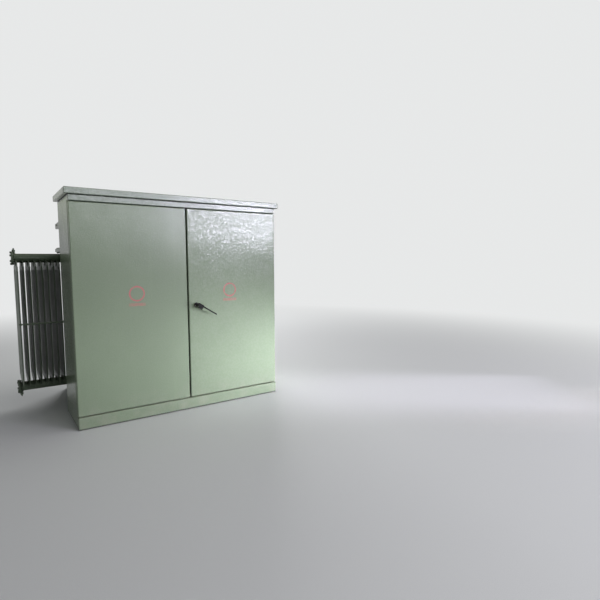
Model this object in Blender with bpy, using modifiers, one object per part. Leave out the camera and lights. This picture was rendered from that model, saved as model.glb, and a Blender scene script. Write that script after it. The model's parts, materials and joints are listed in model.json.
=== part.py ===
"""Pad-mounted three-phase power transformer: a two-door cable cabinet in front of an oil tank with panel radiators.

The origin is on the floor under the middle of the tank. +X is to the right as one faces the doors, +Y to the
rear and +Z up. Lengths are in metres.
"""

import math

import bmesh
import bpy
from mathutils import Matrix, Vector

# Gaps, overruns and roundness that every piece shares.
SEAT_GAP = 0.0003
OVERRUN = 0.020
WELD = 0.00005
ROUND_STEPS = 16
PIN_STEPS = 12
FOLD_SEGMENTS = 1
SHEET = 0.003

# Cabinet, with the outer face of its doors at the front.
CABINET_WIDTH = 1.800
CABINET_DEPTH = 0.575
CABINET_HEIGHT = 1.818
WALL_FOLD = 0.030
WALL_REAR_FOLD = 0.140
CORNER_RADIUS = 0.005
SILL_HEIGHT = 0.100
SILL_PROUD = 0.006
HEADER_HEIGHT = 0.048
JAMB_SETBACK = 0.055
BARRIER_FOLD = 0.030

# Roof of the cabinet, a folded pan.
ROOF_EDGE = 0.049
ROOF_SIDE_OVERHANG = 0.030
ROOF_FRONT_OVERHANG = 0.025
ROOF_REAR_OVERHANG = 0.025

# Doors, folded pans on pins, and the line where they meet.
DOOR_DEPTH = 0.035
DOOR_LIP = 0.018
DOOR_CLEARANCE = 0.005
DOOR_MEETING_X = 0.010
DOOR_MEETING_GAP = 0.012
HINGE_INSET = 0.015
HINGE_SETBACK = 0.025
PIN_RADIUS = 0.006
PIN_CLEARANCE = 0.0006
PIN_REACH = 0.022
PIN_COLLAR_RADIUS = 0.010
HAT_FOOT = 0.040
HAT_CROWN = 0.022
HAT_HEIGHT = 0.024
HAT_END_GAP = 0.060

# Lever handle on the right door.
HANDLE_FROM_MEETING = 0.074
HANDLE_HEIGHT = 0.928
HANDLE_DROP_DEG = 32.0
HANDLE_PLATE_RADIUS = 0.021
HANDLE_PLATE_THICKNESS = 0.006
HANDLE_SHAFT_RADIUS = 0.008
HANDLE_SHAFT_CLEARANCE = 0.0006
HUB_LENGTH = 0.054
HUB_BEHIND_AXIS = 0.010
HUB_WIDTH = 0.040
HUB_DEPTH = 0.030
HUB_STANDOFF = 0.040
HUB_ROUNDING = 0.004
LEVER_REACH = 0.192
LEVER_WIDTH = 0.011
LEVER_THICKNESS = 0.010
LEVER_ROUNDING = 0.003
CAM_RADIUS = 0.024
CAM_THICKNESS = 0.005
CAM_CLEARANCE = 0.001

# Tank on its base of channels.
BASE_HEIGHT = 0.100
BASE_FLANGE = 0.048
BASE_WEB = 0.006
TANK_WIDTH = 1.600
TANK_DEPTH = 0.800
TANK_TOP_DROP = 0.390
TANK_CORNER_RADIUS = 0.020
TANK_FLANGE = 0.040
TANK_FLANGE_THICKNESS = 0.018
LID_THICKNESS = 0.012
LID_CORNER_RADIUS = 0.003
STIFFENER_WIDTH = 0.090
STIFFENER_DEPTH = 0.040
STIFFENER_SPACING = 0.500
STIFFENER_CLEARANCE = 0.060

# Hood over the front of the tank's lid.
HOOD_SIDE_OVERHANG = 0.020
HOOD_DEPTH = 0.566
HOOD_TOP_DROP = 0.124
HOOD_FALL = 0.021
HOOD_EDGE = 0.050
HOOD_FOLD = 0.045
HOOD_BOX_DEPTH = 0.360
HOOD_BOX_INSET = 0.045
HOOD_END_INSET = 0.010
HOOD_END_THICKNESS = 0.008
HOOD_END_DEPTH = 0.530
HOOD_END_FOOT_DEPTH = 0.454
HOOD_END_EDGE = 0.061
HOOD_END_CUT = 0.085
HOOD_EYE_RADIUS = 0.015
HOOD_EYE_INSET = 0.039
HOOD_STRAP_DEPTH = 0.030
HOOD_STRAP_THICKNESS = 0.004
HOOD_STRAP_INSET = 0.120

# Panel radiators, one bank on each side of the tank.
PLATE_COUNT = 8
PLATE_PITCH = 0.045
PLATE_WIDTH = 0.520
PLATE_THICKNESS = 0.003
FLUTE_COUNT = 7
FLUTE_RISE = 0.0045
FLUTE_GAP = 0.016
FLUTE_SLOPE = 0.007
FIRST_PLATE_OFFSET = 0.095
RADIATOR_CENTRE_Y = -0.055
UPPER_HEADER_DROP = 0.083
LOWER_HEADER_Z = 0.195
HEADER_RADIUS = 0.040
SADDLE_WIDTH = 0.120
SHOULDER_DROP = 0.018
SHOULDER_SLOPE = 0.020
SHOULDER_RADIUS = 0.022
SHOULDER_STEPS = 4
FLUTE_END_MARGIN = 0.085
VALVE_FLANGE_RADIUS = 0.058
VALVE_FLANGE_THICKNESS = 0.012
VALVE_BODY_RADIUS = 0.048
VALVE_BODY_LENGTH = 0.018
END_FLANGE_RADIUS = 0.060
END_FLANGE_THICKNESS = 0.012
HEADER_OUTREACH = 0.030
VENT_RADIUS = 0.010
VENT_HEIGHT = 0.048
TIE_ROD_RADIUS = 0.006
TIE_ROD_HEIGHT = 0.785
TIE_ROD_OVERHANG = 0.014

# Bushings on the tank's front wall, inside the cabinet.
HV_BUSHING_COUNT = 3
HV_BUSHING_PITCH = 0.200
HV_BUSHING_DROP = 0.448
HV_BUSHING_RADIUS = 0.062
HV_BUSHING_LENGTH = 0.230
LV_BUSHING_COUNT = 4
LV_BUSHING_PITCH = 0.155
LV_BUSHING_DROP = 0.368
LV_BUSHING_RADIUS = 0.046
LV_BUSHING_LENGTH = 0.120
SPADE_LENGTH = 0.100
SPADE_HEIGHT = 0.080
SPADE_THICKNESS = 0.010
SPADE_TUCK = 0.012
SPADE_HOLE_RADIUS = 0.007
SPADE_HOLE_INSETS = (0.028, 0.072)

# Turned profiles of the bushings from tip to tank, as (share of radius, share of length).
HV_BUSHING_SHARES = (
    (0.00, 1.00), (0.30, 1.00), (0.36, 0.72), (0.50, 0.42), (0.64, 0.36), (0.64, 0.24), (0.94, 0.20),
    (1.00, 0.16), (1.00, 0.00), (0.00, 0.00),
)
LV_BUSHING_SHARES = (
    (0.00, 1.00), (0.38, 1.00), (0.46, 0.90), (0.46, 0.80), (0.82, 0.73), (0.46, 0.64), (0.46, 0.54),
    (0.90, 0.46), (0.50, 0.36), (0.62, 0.26), (1.00, 0.20), (1.00, 0.00), (0.00, 0.00),
)

# Places that follow from the sizes above.
TANK_FRONT = -TANK_DEPTH / 2
TANK_REAR = TANK_DEPTH / 2
CABINET_REAR = TANK_FRONT - SEAT_GAP
DOOR_FACE = CABINET_REAR - CABINET_DEPTH
JAMB_FACE = DOOR_FACE + JAMB_SETBACK
HALF_CABINET = CABINET_WIDTH / 2
HEADER_BOTTOM = CABINET_HEIGHT - HEADER_HEIGHT
DOOR_BOTTOM = SILL_HEIGHT + DOOR_CLEARANCE
DOOR_TOP = HEADER_BOTTOM - DOOR_CLEARANCE
HINGE_X = HALF_CABINET - HINGE_INSET
HINGE_Y = DOOR_FACE + HINGE_SETBACK
HANDLE_X = DOOR_MEETING_X + HANDLE_FROM_MEETING
HANDLE_DROP = math.radians(HANDLE_DROP_DEG)
TANK_TOP = CABINET_HEIGHT - TANK_TOP_DROP
LID_TOP = TANK_TOP + SEAT_GAP + LID_THICKNESS
HALF_LID = TANK_WIDTH / 2 + TANK_FLANGE
HALF_HOOD = HALF_LID + HOOD_SIDE_OVERHANG
HOOD_BOX_WIDTH = 2 * (HALF_LID - HOOD_BOX_INSET)
HOOD_END_X = HALF_LID - HOOD_END_INSET
BACK_PANEL_FRONT = TANK_FRONT
HOOD_FRONT = BACK_PANEL_FRONT + SHEET + SEAT_GAP
HOOD_TOP = CABINET_HEIGHT - HOOD_TOP_DROP
UPPER_HEADER_Z = TANK_TOP - UPPER_HEADER_DROP
HEADER_SPACING = UPPER_HEADER_Z - LOWER_HEADER_Z
PLATE_FRONT_Y = RADIATOR_CENTRE_Y - PLATE_WIDTH / 2
LAST_PLATE_OFFSET = FIRST_PLATE_OFFSET + (PLATE_COUNT - 1) * PLATE_PITCH
BARRIER_X = DOOR_MEETING_X
CLEAR_HALF_WIDTH = HALF_CABINET - WALL_REAR_FOLD
HV_BUSHING_X = (BARRIER_X - CLEAR_HALF_WIDTH) / 2
LV_BUSHING_X = (BARRIER_X + CLEAR_HALF_WIDTH) / 2
HV_BUSHING_Z = TANK_TOP - HV_BUSHING_DROP
LV_BUSHING_Z = TANK_TOP - LV_BUSHING_DROP

PAINT = (0.215, 0.282, 0.205)
PAINT_GREY = (0.250, 0.290, 0.240)


def clear_scene():
    for thing in list(bpy.data.objects):
        bpy.data.objects.remove(thing, do_unlink=True)


def new_collection(name, parent):
    group = bpy.data.collections.new(name)
    parent.children.link(group)
    return group


clear_scene()
PARTS = new_collection("power_transformer", bpy.context.scene.collection)
CUTTERS = new_collection("cutters", bpy.context.scene.collection)
CUTTERS.hide_render = True


def material(name, colour, roughness):
    """A plain Principled BSDF of one colour."""
    look = bpy.data.materials.new(name)
    look.use_nodes = True
    shader = look.node_tree.nodes["Principled BSDF"]
    shader.inputs["Base Color"].default_value = (*colour, 1.0)
    shader.inputs["Roughness"].default_value = roughness
    return look


GREEN = material("green_paint", PAINT, 0.35)
GREY_GREEN = material("grey_green_paint", PAINT_GREY, 0.40)
BLACK = material("black_plastic", (0.012, 0.012, 0.013), 0.45)
PORCELAIN = material("brown_porcelain", (0.16, 0.055, 0.030), 0.15)
RESIN = material("red_brown_resin", (0.25, 0.06, 0.04), 0.35)


def add_object(name, mesh, look):
    """A named part from a mesh in world coordinates."""
    thing = bpy.data.objects.new(name, mesh)
    PARTS.objects.link(thing)
    if not mesh.materials:
        mesh.materials.append(look)
    return thing


def mesh_from(name, shape):
    mesh = bpy.data.meshes.new(name)
    bmesh.ops.recalc_face_normals(shape, faces=shape.faces)
    shape.to_mesh(mesh)
    shape.free()
    return mesh


def helper(name, mesh):
    """A mesh that only cuts or joins another."""
    thing = bpy.data.objects.new(name, mesh)
    CUTTERS.objects.link(thing)
    thing.hide_render = True
    thing.display_type = "WIRE"
    return thing


def combine(thing, other, operation):
    step = thing.modifiers.new(operation.lower(), "BOOLEAN")
    step.operation = operation
    step.solver = "EXACT"
    step.object = other


def cut(thing, other):
    combine(thing, other, "DIFFERENCE")


def join(thing, other):
    combine(thing, other, "UNION")


def box_shape(low, high):
    """A cube stretched to the box between two corners."""
    low = Vector(low)
    high = Vector(high)
    shape = bmesh.new()
    place = Matrix.Translation((low + high) / 2) @ Matrix.Diagonal((*(high - low), 1.0))
    bmesh.ops.create_cube(shape, size=1.0, matrix=place)
    return shape


def box_mesh(name, low, high):
    return mesh_from(name, box_shape(low, high))


def rod_mesh(name, radius, length, place, steps=ROUND_STEPS):
    """A cylinder along the local Z of place, centred on it, with its round side shaded smooth."""
    shape = bmesh.new()
    bmesh.ops.create_cone(
        shape, cap_ends=True, segments=steps, radius1=radius, radius2=radius, depth=length, matrix=place
    )
    for face in shape.faces:
        face.smooth = len(face.verts) < steps
    return mesh_from(name, shape)


def along_x(x, y, z):
    return Matrix.Translation((x, y, z)) @ Matrix.Rotation(math.pi / 2, 4, "Y")


def along_y(x, y, z):
    return Matrix.Translation((x, y, z)) @ Matrix.Rotation(math.pi / 2, 4, "X")


def along_z(x, y, z):
    return Matrix.Translation((x, y, z))


def outline_mesh(name, points, thickness, place):
    """A flat closed outline, filled and extruded by thickness about its own plane."""
    curve = bpy.data.curves.new(name, "CURVE")
    curve.dimensions = "2D"
    curve.fill_mode = "BOTH"
    curve.extrude = thickness / 2
    line = curve.splines.new("POLY")
    line.points.add(len(points) - 1)
    for point, (across, up) in zip(line.points, points):
        point.co = (across, up, 0, 1)
    line.use_cyclic_u = True
    guide = bpy.data.objects.new(name, curve)
    CUTTERS.objects.link(guide)
    graph = bpy.context.evaluated_depsgraph_get()
    raw = bpy.data.meshes.new_from_object(guide.evaluated_get(graph))
    bpy.data.objects.remove(guide)
    shape = bmesh.new()
    shape.from_mesh(raw)
    bmesh.ops.remove_doubles(shape, verts=shape.verts, dist=WELD)
    bmesh.ops.transform(shape, matrix=place, verts=shape.verts)
    return mesh_from(name, shape)


# The place of an outline that is drawn in (Y, Z) and thickened along X.
YZ_PLANE = Matrix(((0, 0, 1, 0), (1, 0, 0, 0), (0, 1, 0, 0), (0, 0, 0, 1)))


def pan(name, low, high, open_side, lip, look, sheet=SHEET, radius=CORNER_RADIUS):
    """A folded sheet-metal tray: a box open on one side, with a lip round the opening."""
    shape = box_shape(low, high)
    outward = Vector(open_side)
    mouth = next(face for face in shape.faces if face.normal.dot(outward) > 1 / 2)
    if lip:
        bmesh.ops.inset_region(shape, faces=[mouth], thickness=lip)
    bmesh.ops.delete(shape, geom=[mouth], context="FACES")
    mesh = bpy.data.meshes.new(name)
    shape.to_mesh(mesh)
    shape.free()
    thing = add_object(name, mesh, look)
    if radius:
        rounded = thing.modifiers.new("corners", "BEVEL")
        rounded.width = radius
        rounded.segments = FOLD_SEGMENTS
        rounded.limit_method = "ANGLE"
    shell = thing.modifiers.new("sheet", "SOLIDIFY")
    shell.thickness = sheet
    shell.offset = -1
    shell.use_even_offset = True
    return thing


def turned(name, profile, place, steps=ROUND_STEPS):
    """A closed profile of (radius, height) from top to bottom, turned about the local Z of place."""
    mesh = bpy.data.meshes.new(name)
    shape = bmesh.new()
    ring = [shape.verts.new((radius, 0, height)) for radius, height in profile]
    for upper, lower in zip(ring, ring[1:]):
        shape.edges.new((upper, lower))
    shape.to_mesh(mesh)
    shape.free()
    thing = bpy.data.objects.new(name, mesh)
    thing.matrix_world = place
    screw = thing.modifiers.new("turn", "SCREW")
    screw.axis = "Z"
    screw.steps = steps
    screw.render_steps = steps
    screw.use_merge_vertices = True
    screw.merge_threshold = WELD
    screw.use_smooth_shade = True
    return thing


def set_origin(thing, point):
    """Moves the object's origin to a point and leaves the shape where it is."""
    thing.data.transform(Matrix.Translation(-Vector(point)))
    thing.location = point


def baked(thing):
    """The object's shape with its modifiers applied, as a mesh of its own."""
    graph = bpy.context.evaluated_depsgraph_get()
    return bpy.data.meshes.new_from_object(thing.evaluated_get(graph))


def base_frame():
    """Channels under the tank: two along its sides, and cross members at its front, middle and rear."""
    half = TANK_WIDTH / 2
    inner = half - BASE_FLANGE
    near = BASE_FLANGE / 2
    far = TANK_DEPTH / 2 - BASE_FLANGE
    block = box_mesh("base_frame", (-half, TANK_FRONT, 0), (half, TANK_REAR, BASE_HEIGHT))
    frame = add_object("base_frame", block, GREEN)
    for name, low_y, high_y in (("front_bay", -far, -near), ("rear_bay", near, far)):
        bay = box_mesh(name, (-inner, low_y, -OVERRUN), (inner, high_y, BASE_HEIGHT + OVERRUN))
        cut(frame, helper(name, bay))
    recess = inner + BASE_WEB
    outside = half + OVERRUN
    for name, low_x, high_x in (("left_channel", -outside, -recess), ("right_channel", recess, outside)):
        hollow = box_mesh(name, (low_x, -far, BASE_WEB), (high_x, far, BASE_HEIGHT - BASE_WEB))
        cut(frame, helper(name, hollow))


def front_sill():
    """The folded strip under the doors, with a hole in its upper flange for each door's lower pin."""
    low = (-HALF_CABINET, DOOR_FACE - SILL_PROUD, 0)
    high = (HALF_CABINET, JAMB_FACE - SEAT_GAP, SILL_HEIGHT)
    sill = pan("front_sill", low, high, (0, 1, 0), 0, GREEN)
    for side in (-1, 1):
        pin_hole(sill, side, SILL_HEIGHT)


def header_rail():
    """The folded strip over the doors, which takes their upper pins and carries the roof."""
    low = (-HALF_CABINET, DOOR_FACE, HEADER_BOTTOM)
    high = (HALF_CABINET, JAMB_FACE - SEAT_GAP, CABINET_HEIGHT)
    rail = pan("header_rail", low, high, (0, 1, 0), 0, GREY_GREEN)
    for side in (-1, 1):
        pin_hole(rail, side, HEADER_BOTTOM)


def pin_hole(thing, side, height):
    """A hole for a door pin through the flange at a height, on the left or right."""
    name = f"{thing.name}_pin_hole_{side}"
    place = along_z(side * HINGE_X, HINGE_Y, height)
    cut(thing, helper(name, rod_mesh(name, PIN_RADIUS + PIN_CLEARANCE, OVERRUN, place, steps=PIN_STEPS)))


def cabinet_wall(name, side):
    """A side wall with folded edges. Its rear fold laps over the edge of the tank's front."""
    outer = side * HALF_CABINET
    inner = side * (HALF_CABINET - WALL_FOLD)
    low = (min(outer, inner), JAMB_FACE, 0)
    high = (max(outer, inner), CABINET_REAR, CABINET_HEIGHT)
    wall = pan(name, low, high, (-side, 0, 0), 0, GREEN)
    lap = side * (HALF_CABINET - WALL_REAR_FOLD)
    root = side * (HALF_CABINET - WALL_FOLD / 2)
    strip_low = (min(lap, root), CABINET_REAR - SHEET, 0)
    strip_high = (max(lap, root), CABINET_REAR, CABINET_HEIGHT)
    join(wall, helper(f"{name}_rear_fold", box_mesh(f"{name}_rear_fold", strip_low, strip_high)))


def cabinet_roof():
    """A folded pan, turned over, that rests on the walls and the header."""
    reach = HALF_CABINET + ROOF_SIDE_OVERHANG
    seat = CABINET_HEIGHT + SEAT_GAP
    low = (-reach, DOOR_FACE - ROOF_FRONT_OVERHANG, seat)
    high = (reach, CABINET_REAR + ROOF_REAR_OVERHANG, seat + ROOF_EDGE)
    pan("cabinet_roof", low, high, (0, 0, -1), ROOF_SIDE_OVERHANG + WALL_FOLD, GREY_GREEN)


def compartment_barrier():
    """The sheet between the two compartments, with a folded front edge behind the line where the doors meet."""
    near = BARRIER_X - SHEET / 2
    far = BARRIER_X + SHEET / 2
    fold = near + BARRIER_FOLD
    section = (
        (near, JAMB_FACE),
        (fold, JAMB_FACE),
        (fold, JAMB_FACE + SHEET),
        (far, JAMB_FACE + SHEET),
        (far, CABINET_REAR),
        (near, CABINET_REAR),
    )
    mesh = outline_mesh("compartment_barrier", section, HEADER_BOTTOM, along_z(0, 0, HEADER_BOTTOM / 2))
    add_object("compartment_barrier", mesh, GREY_GREEN)


def back_panel():
    """The sheet that closes the cabinet's back above the tank's lid."""
    reach = HALF_CABINET - WALL_FOLD
    low = (-reach, BACK_PANEL_FRONT, LID_TOP + SEAT_GAP)
    high = (reach, BACK_PANEL_FRONT + SHEET, CABINET_HEIGHT)
    add_object("back_panel", box_mesh("back_panel", low, high), GREEN)


def door(name, side):
    """A door: a folded pan with a lip all round and a pin at each end, whose origin is on the pins' axis."""
    outer = side * HALF_CABINET
    inner = DOOR_MEETING_X + side * DOOR_MEETING_GAP / 2
    low = (min(outer, inner), DOOR_FACE, DOOR_BOTTOM)
    high = (max(outer, inner), DOOR_FACE + DOOR_DEPTH, DOOR_TOP)
    leaf = pan(name, low, high, (0, 1, 0), DOOR_LIP, GREEN)
    axis_x = side * HINGE_X
    pins = (("lower", DOOR_BOTTOM, -1), ("upper", DOOR_TOP, 1))
    for end, edge, outward in pins:
        middle = edge + outward * DOOR_CLEARANCE / 2
        length = DOOR_CLEARANCE + 2 * PIN_REACH
        place = along_z(axis_x, HINGE_Y, middle)
        pin = rod_mesh(f"{name}_{end}_pin", PIN_RADIUS, length, place, steps=PIN_STEPS)
        join(leaf, helper(f"{name}_{end}_pin", pin))
    collar_height = DOOR_CLEARANCE - SEAT_GAP + SHEET / 2
    place = along_z(axis_x, HINGE_Y, DOOR_BOTTOM + SHEET / 2 - collar_height / 2)
    collar = rod_mesh(f"{name}_collar", PIN_COLLAR_RADIUS, collar_height, place, steps=PIN_STEPS)
    join(leaf, helper(f"{name}_collar", collar))
    set_origin(leaf, (axis_x, HINGE_Y, DOOR_BOTTOM))
    return leaf


def door_stiffener(name, side):
    """An upright hat section on the inside of a door's skin, halfway across it."""
    middle = (side * HALF_CABINET + DOOR_MEETING_X + side * DOOR_MEETING_GAP / 2) / 2
    wall = HAT_CROWN - SHEET
    section = (
        (-HAT_FOOT, 0),
        (-wall, 0),
        (-wall, HAT_HEIGHT - SHEET),
        (wall, HAT_HEIGHT - SHEET),
        (wall, 0),
        (HAT_FOOT, 0),
        (HAT_FOOT, SHEET),
        (HAT_CROWN, SHEET),
        (HAT_CROWN, HAT_HEIGHT),
        (-HAT_CROWN, HAT_HEIGHT),
        (-HAT_CROWN, SHEET),
        (-HAT_FOOT, SHEET),
    )
    length = DOOR_TOP - DOOR_BOTTOM - 2 * HAT_END_GAP
    place = along_z(middle, DOOR_FACE + SHEET + SEAT_GAP, (DOOR_TOP + DOOR_BOTTOM) / 2)
    add_object(name, outline_mesh(name, section, length, place), GREEN)


def handle_plate():
    """The round plate on the right door that the handle's shaft turns in."""
    middle = DOOR_FACE - SEAT_GAP - HANDLE_PLATE_THICKNESS / 2
    place = along_y(HANDLE_X, middle, HANDLE_HEIGHT)
    disc = rod_mesh("handle_plate", HANDLE_PLATE_RADIUS, HANDLE_PLATE_THICKNESS, place)
    plate = add_object("handle_plate", disc, BLACK)
    shaft_hole(plate)


def shaft_hole(thing):
    """A hole for the handle's shaft, from outside the door's plate to behind its skin."""
    name = f"{thing.name}_shaft_hole"
    place = along_y(HANDLE_X, DOOR_FACE, HANDLE_HEIGHT)
    length = 2 * (HANDLE_PLATE_THICKNESS + OVERRUN)
    cut(thing, helper(name, rod_mesh(name, HANDLE_SHAFT_RADIUS + HANDLE_SHAFT_CLEARANCE, length, place)))


def door_handle():
    """A hub and a flat lever on a shaft through the door, with a cam disc inside it. The origin is on the shaft."""
    tilt = Matrix.Rotation(HANDLE_DROP, 4, "Y")
    place = Matrix.Translation((HANDLE_X, DOOR_FACE, HANDLE_HEIGHT)) @ tilt
    cam_near = SHEET + CAM_CLEARANCE
    cam_far = cam_near + CAM_THICKNESS
    hub_near = -HUB_STANDOFF
    hub_far = hub_near - HUB_DEPTH
    hub_end = HUB_LENGTH - HUB_BEHIND_AXIS
    hub = box_shape((-HUB_BEHIND_AXIS, hub_far, -HUB_WIDTH / 2), (hub_end, hub_near, HUB_WIDTH / 2))
    bmesh.ops.bevel(hub, geom=hub.edges, offset=HUB_ROUNDING, segments=2, affect="EDGES", profile=1 / 2)
    bmesh.ops.transform(hub, matrix=place, verts=hub.verts)
    handle = add_object("door_handle", mesh_from("door_handle", hub), BLACK)

    lever_y = hub_near - HUB_DEPTH / 2
    lever_top = HUB_WIDTH / 2 - HUB_ROUNDING
    lever_low = (0, lever_y - LEVER_THICKNESS / 2, lever_top - LEVER_WIDTH)
    lever_high = (LEVER_REACH, lever_y + LEVER_THICKNESS / 2, lever_top)
    lever = box_shape(lever_low, lever_high)
    tip = [edge for edge in lever.edges if all(vert.co.x > hub_end for vert in edge.verts)]
    bmesh.ops.bevel(lever, geom=tip, offset=LEVER_ROUNDING, segments=2, affect="EDGES", profile=1 / 2)
    bmesh.ops.transform(lever, matrix=place, verts=lever.verts)
    join(handle, helper("lever", mesh_from("lever", lever)))

    shaft_length = cam_far - hub_near + HUB_DEPTH / 2
    shaft_middle = (cam_far + hub_near - HUB_DEPTH / 2) / 2
    shaft = rod_mesh("shaft", HANDLE_SHAFT_RADIUS, shaft_length, place @ along_y(0, shaft_middle, 0))
    join(handle, helper("shaft", shaft))
    cam_middle = (cam_near + cam_far) / 2
    cam = rod_mesh("cam", CAM_RADIUS, CAM_THICKNESS, place @ along_y(0, cam_middle, 0))
    join(handle, helper("cam", cam))
    set_origin(handle, (HANDLE_X, DOOR_FACE, HANDLE_HEIGHT))


def tank_body():
    """The closed oil tank: a box with rounded upright corners, a top flange and stiffeners on its rear wall."""
    half = TANK_WIDTH / 2
    shape = box_shape((-half, TANK_FRONT, BASE_HEIGHT + SEAT_GAP), (half, TANK_REAR, TANK_TOP))
    round_uprights(shape, TANK_CORNER_RADIUS)
    tank = add_object("tank_body", mesh_from("tank_body", shape), GREEN)
    flange_low = (-HALF_LID, TANK_FRONT, TANK_TOP - TANK_FLANGE_THICKNESS)
    flange_high = (HALF_LID, TANK_REAR + TANK_FLANGE, TANK_TOP)
    join(tank, helper("tank_flange", box_mesh("tank_flange", flange_low, flange_high)))
    bottom = BASE_HEIGHT + STIFFENER_CLEARANCE
    top = TANK_TOP - TANK_FLANGE_THICKNESS - STIFFENER_CLEARANCE
    root = STIFFENER_WIDTH / 2
    crest = root - STIFFENER_DEPTH / 4
    for place in (-1, 0, 1):
        x = place * STIFFENER_SPACING
        section = (
            (x - root, TANK_REAR - SHEET),
            (x + root, TANK_REAR - SHEET),
            (x + crest, TANK_REAR + STIFFENER_DEPTH),
            (x - crest, TANK_REAR + STIFFENER_DEPTH),
        )
        name = f"stiffener_{place + 2}"
        join(tank, helper(name, outline_mesh(name, section, top - bottom, along_z(0, 0, (top + bottom) / 2))))


def round_uprights(shape, radius):
    """Rounds a box's upright edges."""
    upright = [edge for edge in shape.edges if abs(edge.verts[0].co.z - edge.verts[1].co.z) > radius]
    bmesh.ops.bevel(shape, geom=upright, offset=radius, segments=3, affect="EDGES", profile=1 / 2)


def tank_lid():
    """The flat cover on the tank's flange."""
    low = (-HALF_LID, TANK_FRONT, TANK_TOP + SEAT_GAP)
    high = (HALF_LID, TANK_REAR + TANK_FLANGE, LID_TOP)
    lid = add_object("tank_lid", box_mesh("tank_lid", low, high), GREEN)
    edges = lid.modifiers.new("edges", "BEVEL")
    edges.width = LID_CORNER_RADIUS
    edges.segments = 2


def hood_top(y):
    """The height of the hood's sloping top at a place along Y."""
    return HOOD_TOP - HOOD_FALL * (y - HOOD_FRONT) / HOOD_DEPTH


def hood_underside(y):
    return hood_top(y) - HOOD_EDGE


def hood_roof():
    """A folded pan like the cabinet's roof, which falls a little towards the rear."""
    low = (-HALF_HOOD, HOOD_FRONT, HOOD_TOP - HOOD_EDGE)
    high = (HALF_HOOD, HOOD_FRONT + HOOD_DEPTH, HOOD_TOP)
    roof = pan("hood_roof", low, high, (0, 0, -1), HOOD_FOLD, GREEN)
    for vert in roof.data.vertices:
        vert.co.z += hood_top(vert.co.y) - HOOD_TOP


def hood_box():
    """The closed housing under the hood, which stands on the lid."""
    rear = HOOD_FRONT + HOOD_BOX_DEPTH
    outline = (
        (HOOD_FRONT, LID_TOP + SEAT_GAP),
        (rear, LID_TOP + SEAT_GAP),
        (rear, hood_underside(rear) - SEAT_GAP),
        (HOOD_FRONT, hood_underside(HOOD_FRONT) - SEAT_GAP),
    )
    add_object("hood_box", outline_mesh("hood_box", outline, HOOD_BOX_WIDTH, YZ_PLANE), GREEN)


def hood_end(name, side):
    """An end plate of the hood with a cut-back lower corner, a lifting eye and an upright strap on its outer face."""
    rear = HOOD_FRONT + HOOD_END_DEPTH
    foot_rear = HOOD_FRONT + HOOD_END_FOOT_DEPTH
    upper = hood_underside(rear) - SEAT_GAP - HOOD_END_EDGE
    outline = (
        (HOOD_FRONT, LID_TOP + SEAT_GAP),
        (foot_rear, LID_TOP + SEAT_GAP),
        (foot_rear, upper - HOOD_END_CUT),
        (rear, upper),
        (rear, hood_underside(rear) - SEAT_GAP),
        (HOOD_FRONT, hood_underside(HOOD_FRONT) - SEAT_GAP),
    )
    x = side * HOOD_END_X
    place = Matrix.Translation((x, 0, 0)) @ YZ_PLANE
    end = add_object(name, outline_mesh(name, outline, HOOD_END_THICKNESS, place), GREEN)
    eye = rod_mesh(f"{name}_eye", HOOD_EYE_RADIUS, HOOD_EDGE, along_x(x, rear - HOOD_EYE_INSET, upper))
    cut(end, helper(f"{name}_eye", eye))
    face = x + side * HOOD_END_THICKNESS / 2
    outer = face + side * HOOD_STRAP_THICKNESS
    strap_rear = HOOD_FRONT + HOOD_STRAP_INSET + HOOD_STRAP_DEPTH
    strap_low = (min(x, outer), HOOD_FRONT + HOOD_STRAP_INSET, LID_TOP + SEAT_GAP)
    strap_high = (max(x, outer), strap_rear, hood_underside(strap_rear) - SEAT_GAP)
    join(end, helper(f"{name}_strap", box_mesh(f"{name}_strap", strap_low, strap_high)))


def plate_outline():
    """A radiator plate seen from the side: straight sides, and shoulders that rise to a saddle at each header."""
    half = PLATE_WIDTH / 2
    saddle_z = HEADER_SPACING / 2 - SHOULDER_DROP
    corner_z = saddle_z - SHOULDER_SLOPE
    centre_y = half - SHOULDER_RADIUS
    centre_z = corner_z - SHOULDER_RADIUS
    quarter = []
    for step in range(SHOULDER_STEPS + 1):
        angle = step / SHOULDER_STEPS * math.pi / 2
        quarter.append((centre_y + SHOULDER_RADIUS * math.cos(angle), centre_z + SHOULDER_RADIUS * math.sin(angle)))
    quarter.append((SADDLE_WIDTH / 2, saddle_z))
    left = [(-y, z) for y, z in reversed(quarter)]
    upper = quarter + left
    lower = [(y, -z) for y, z in reversed(upper)]
    return upper + lower


def flutes():
    """The pressed oil channels of a plate, which stand out of both its faces."""
    shape = bmesh.new()
    pitch = (PLATE_WIDTH - FLUTE_GAP) / FLUTE_COUNT
    half_width = (pitch - FLUTE_GAP) / 2
    half_length = HEADER_SPACING / 2 - FLUTE_END_MARGIN
    crest = PLATE_THICKNESS / 2 + FLUTE_RISE
    for count in range(FLUTE_COUNT):
        y = (count - (FLUTE_COUNT - 1) / 2) * pitch
        for side in (-1, 1):
            made = bmesh.ops.create_cube(shape, size=1.0)["verts"]
            for vert in made:
                outside = vert.co.x * side > 0
                slope = FLUTE_SLOPE if outside else 0
                vert.co.x = side * (crest if outside else PLATE_THICKNESS / 4)
                vert.co.y = y + math.copysign(half_width - slope, vert.co.y)
                vert.co.z = math.copysign(half_length - slope, vert.co.z)
    return mesh_from("flutes", shape)


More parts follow.
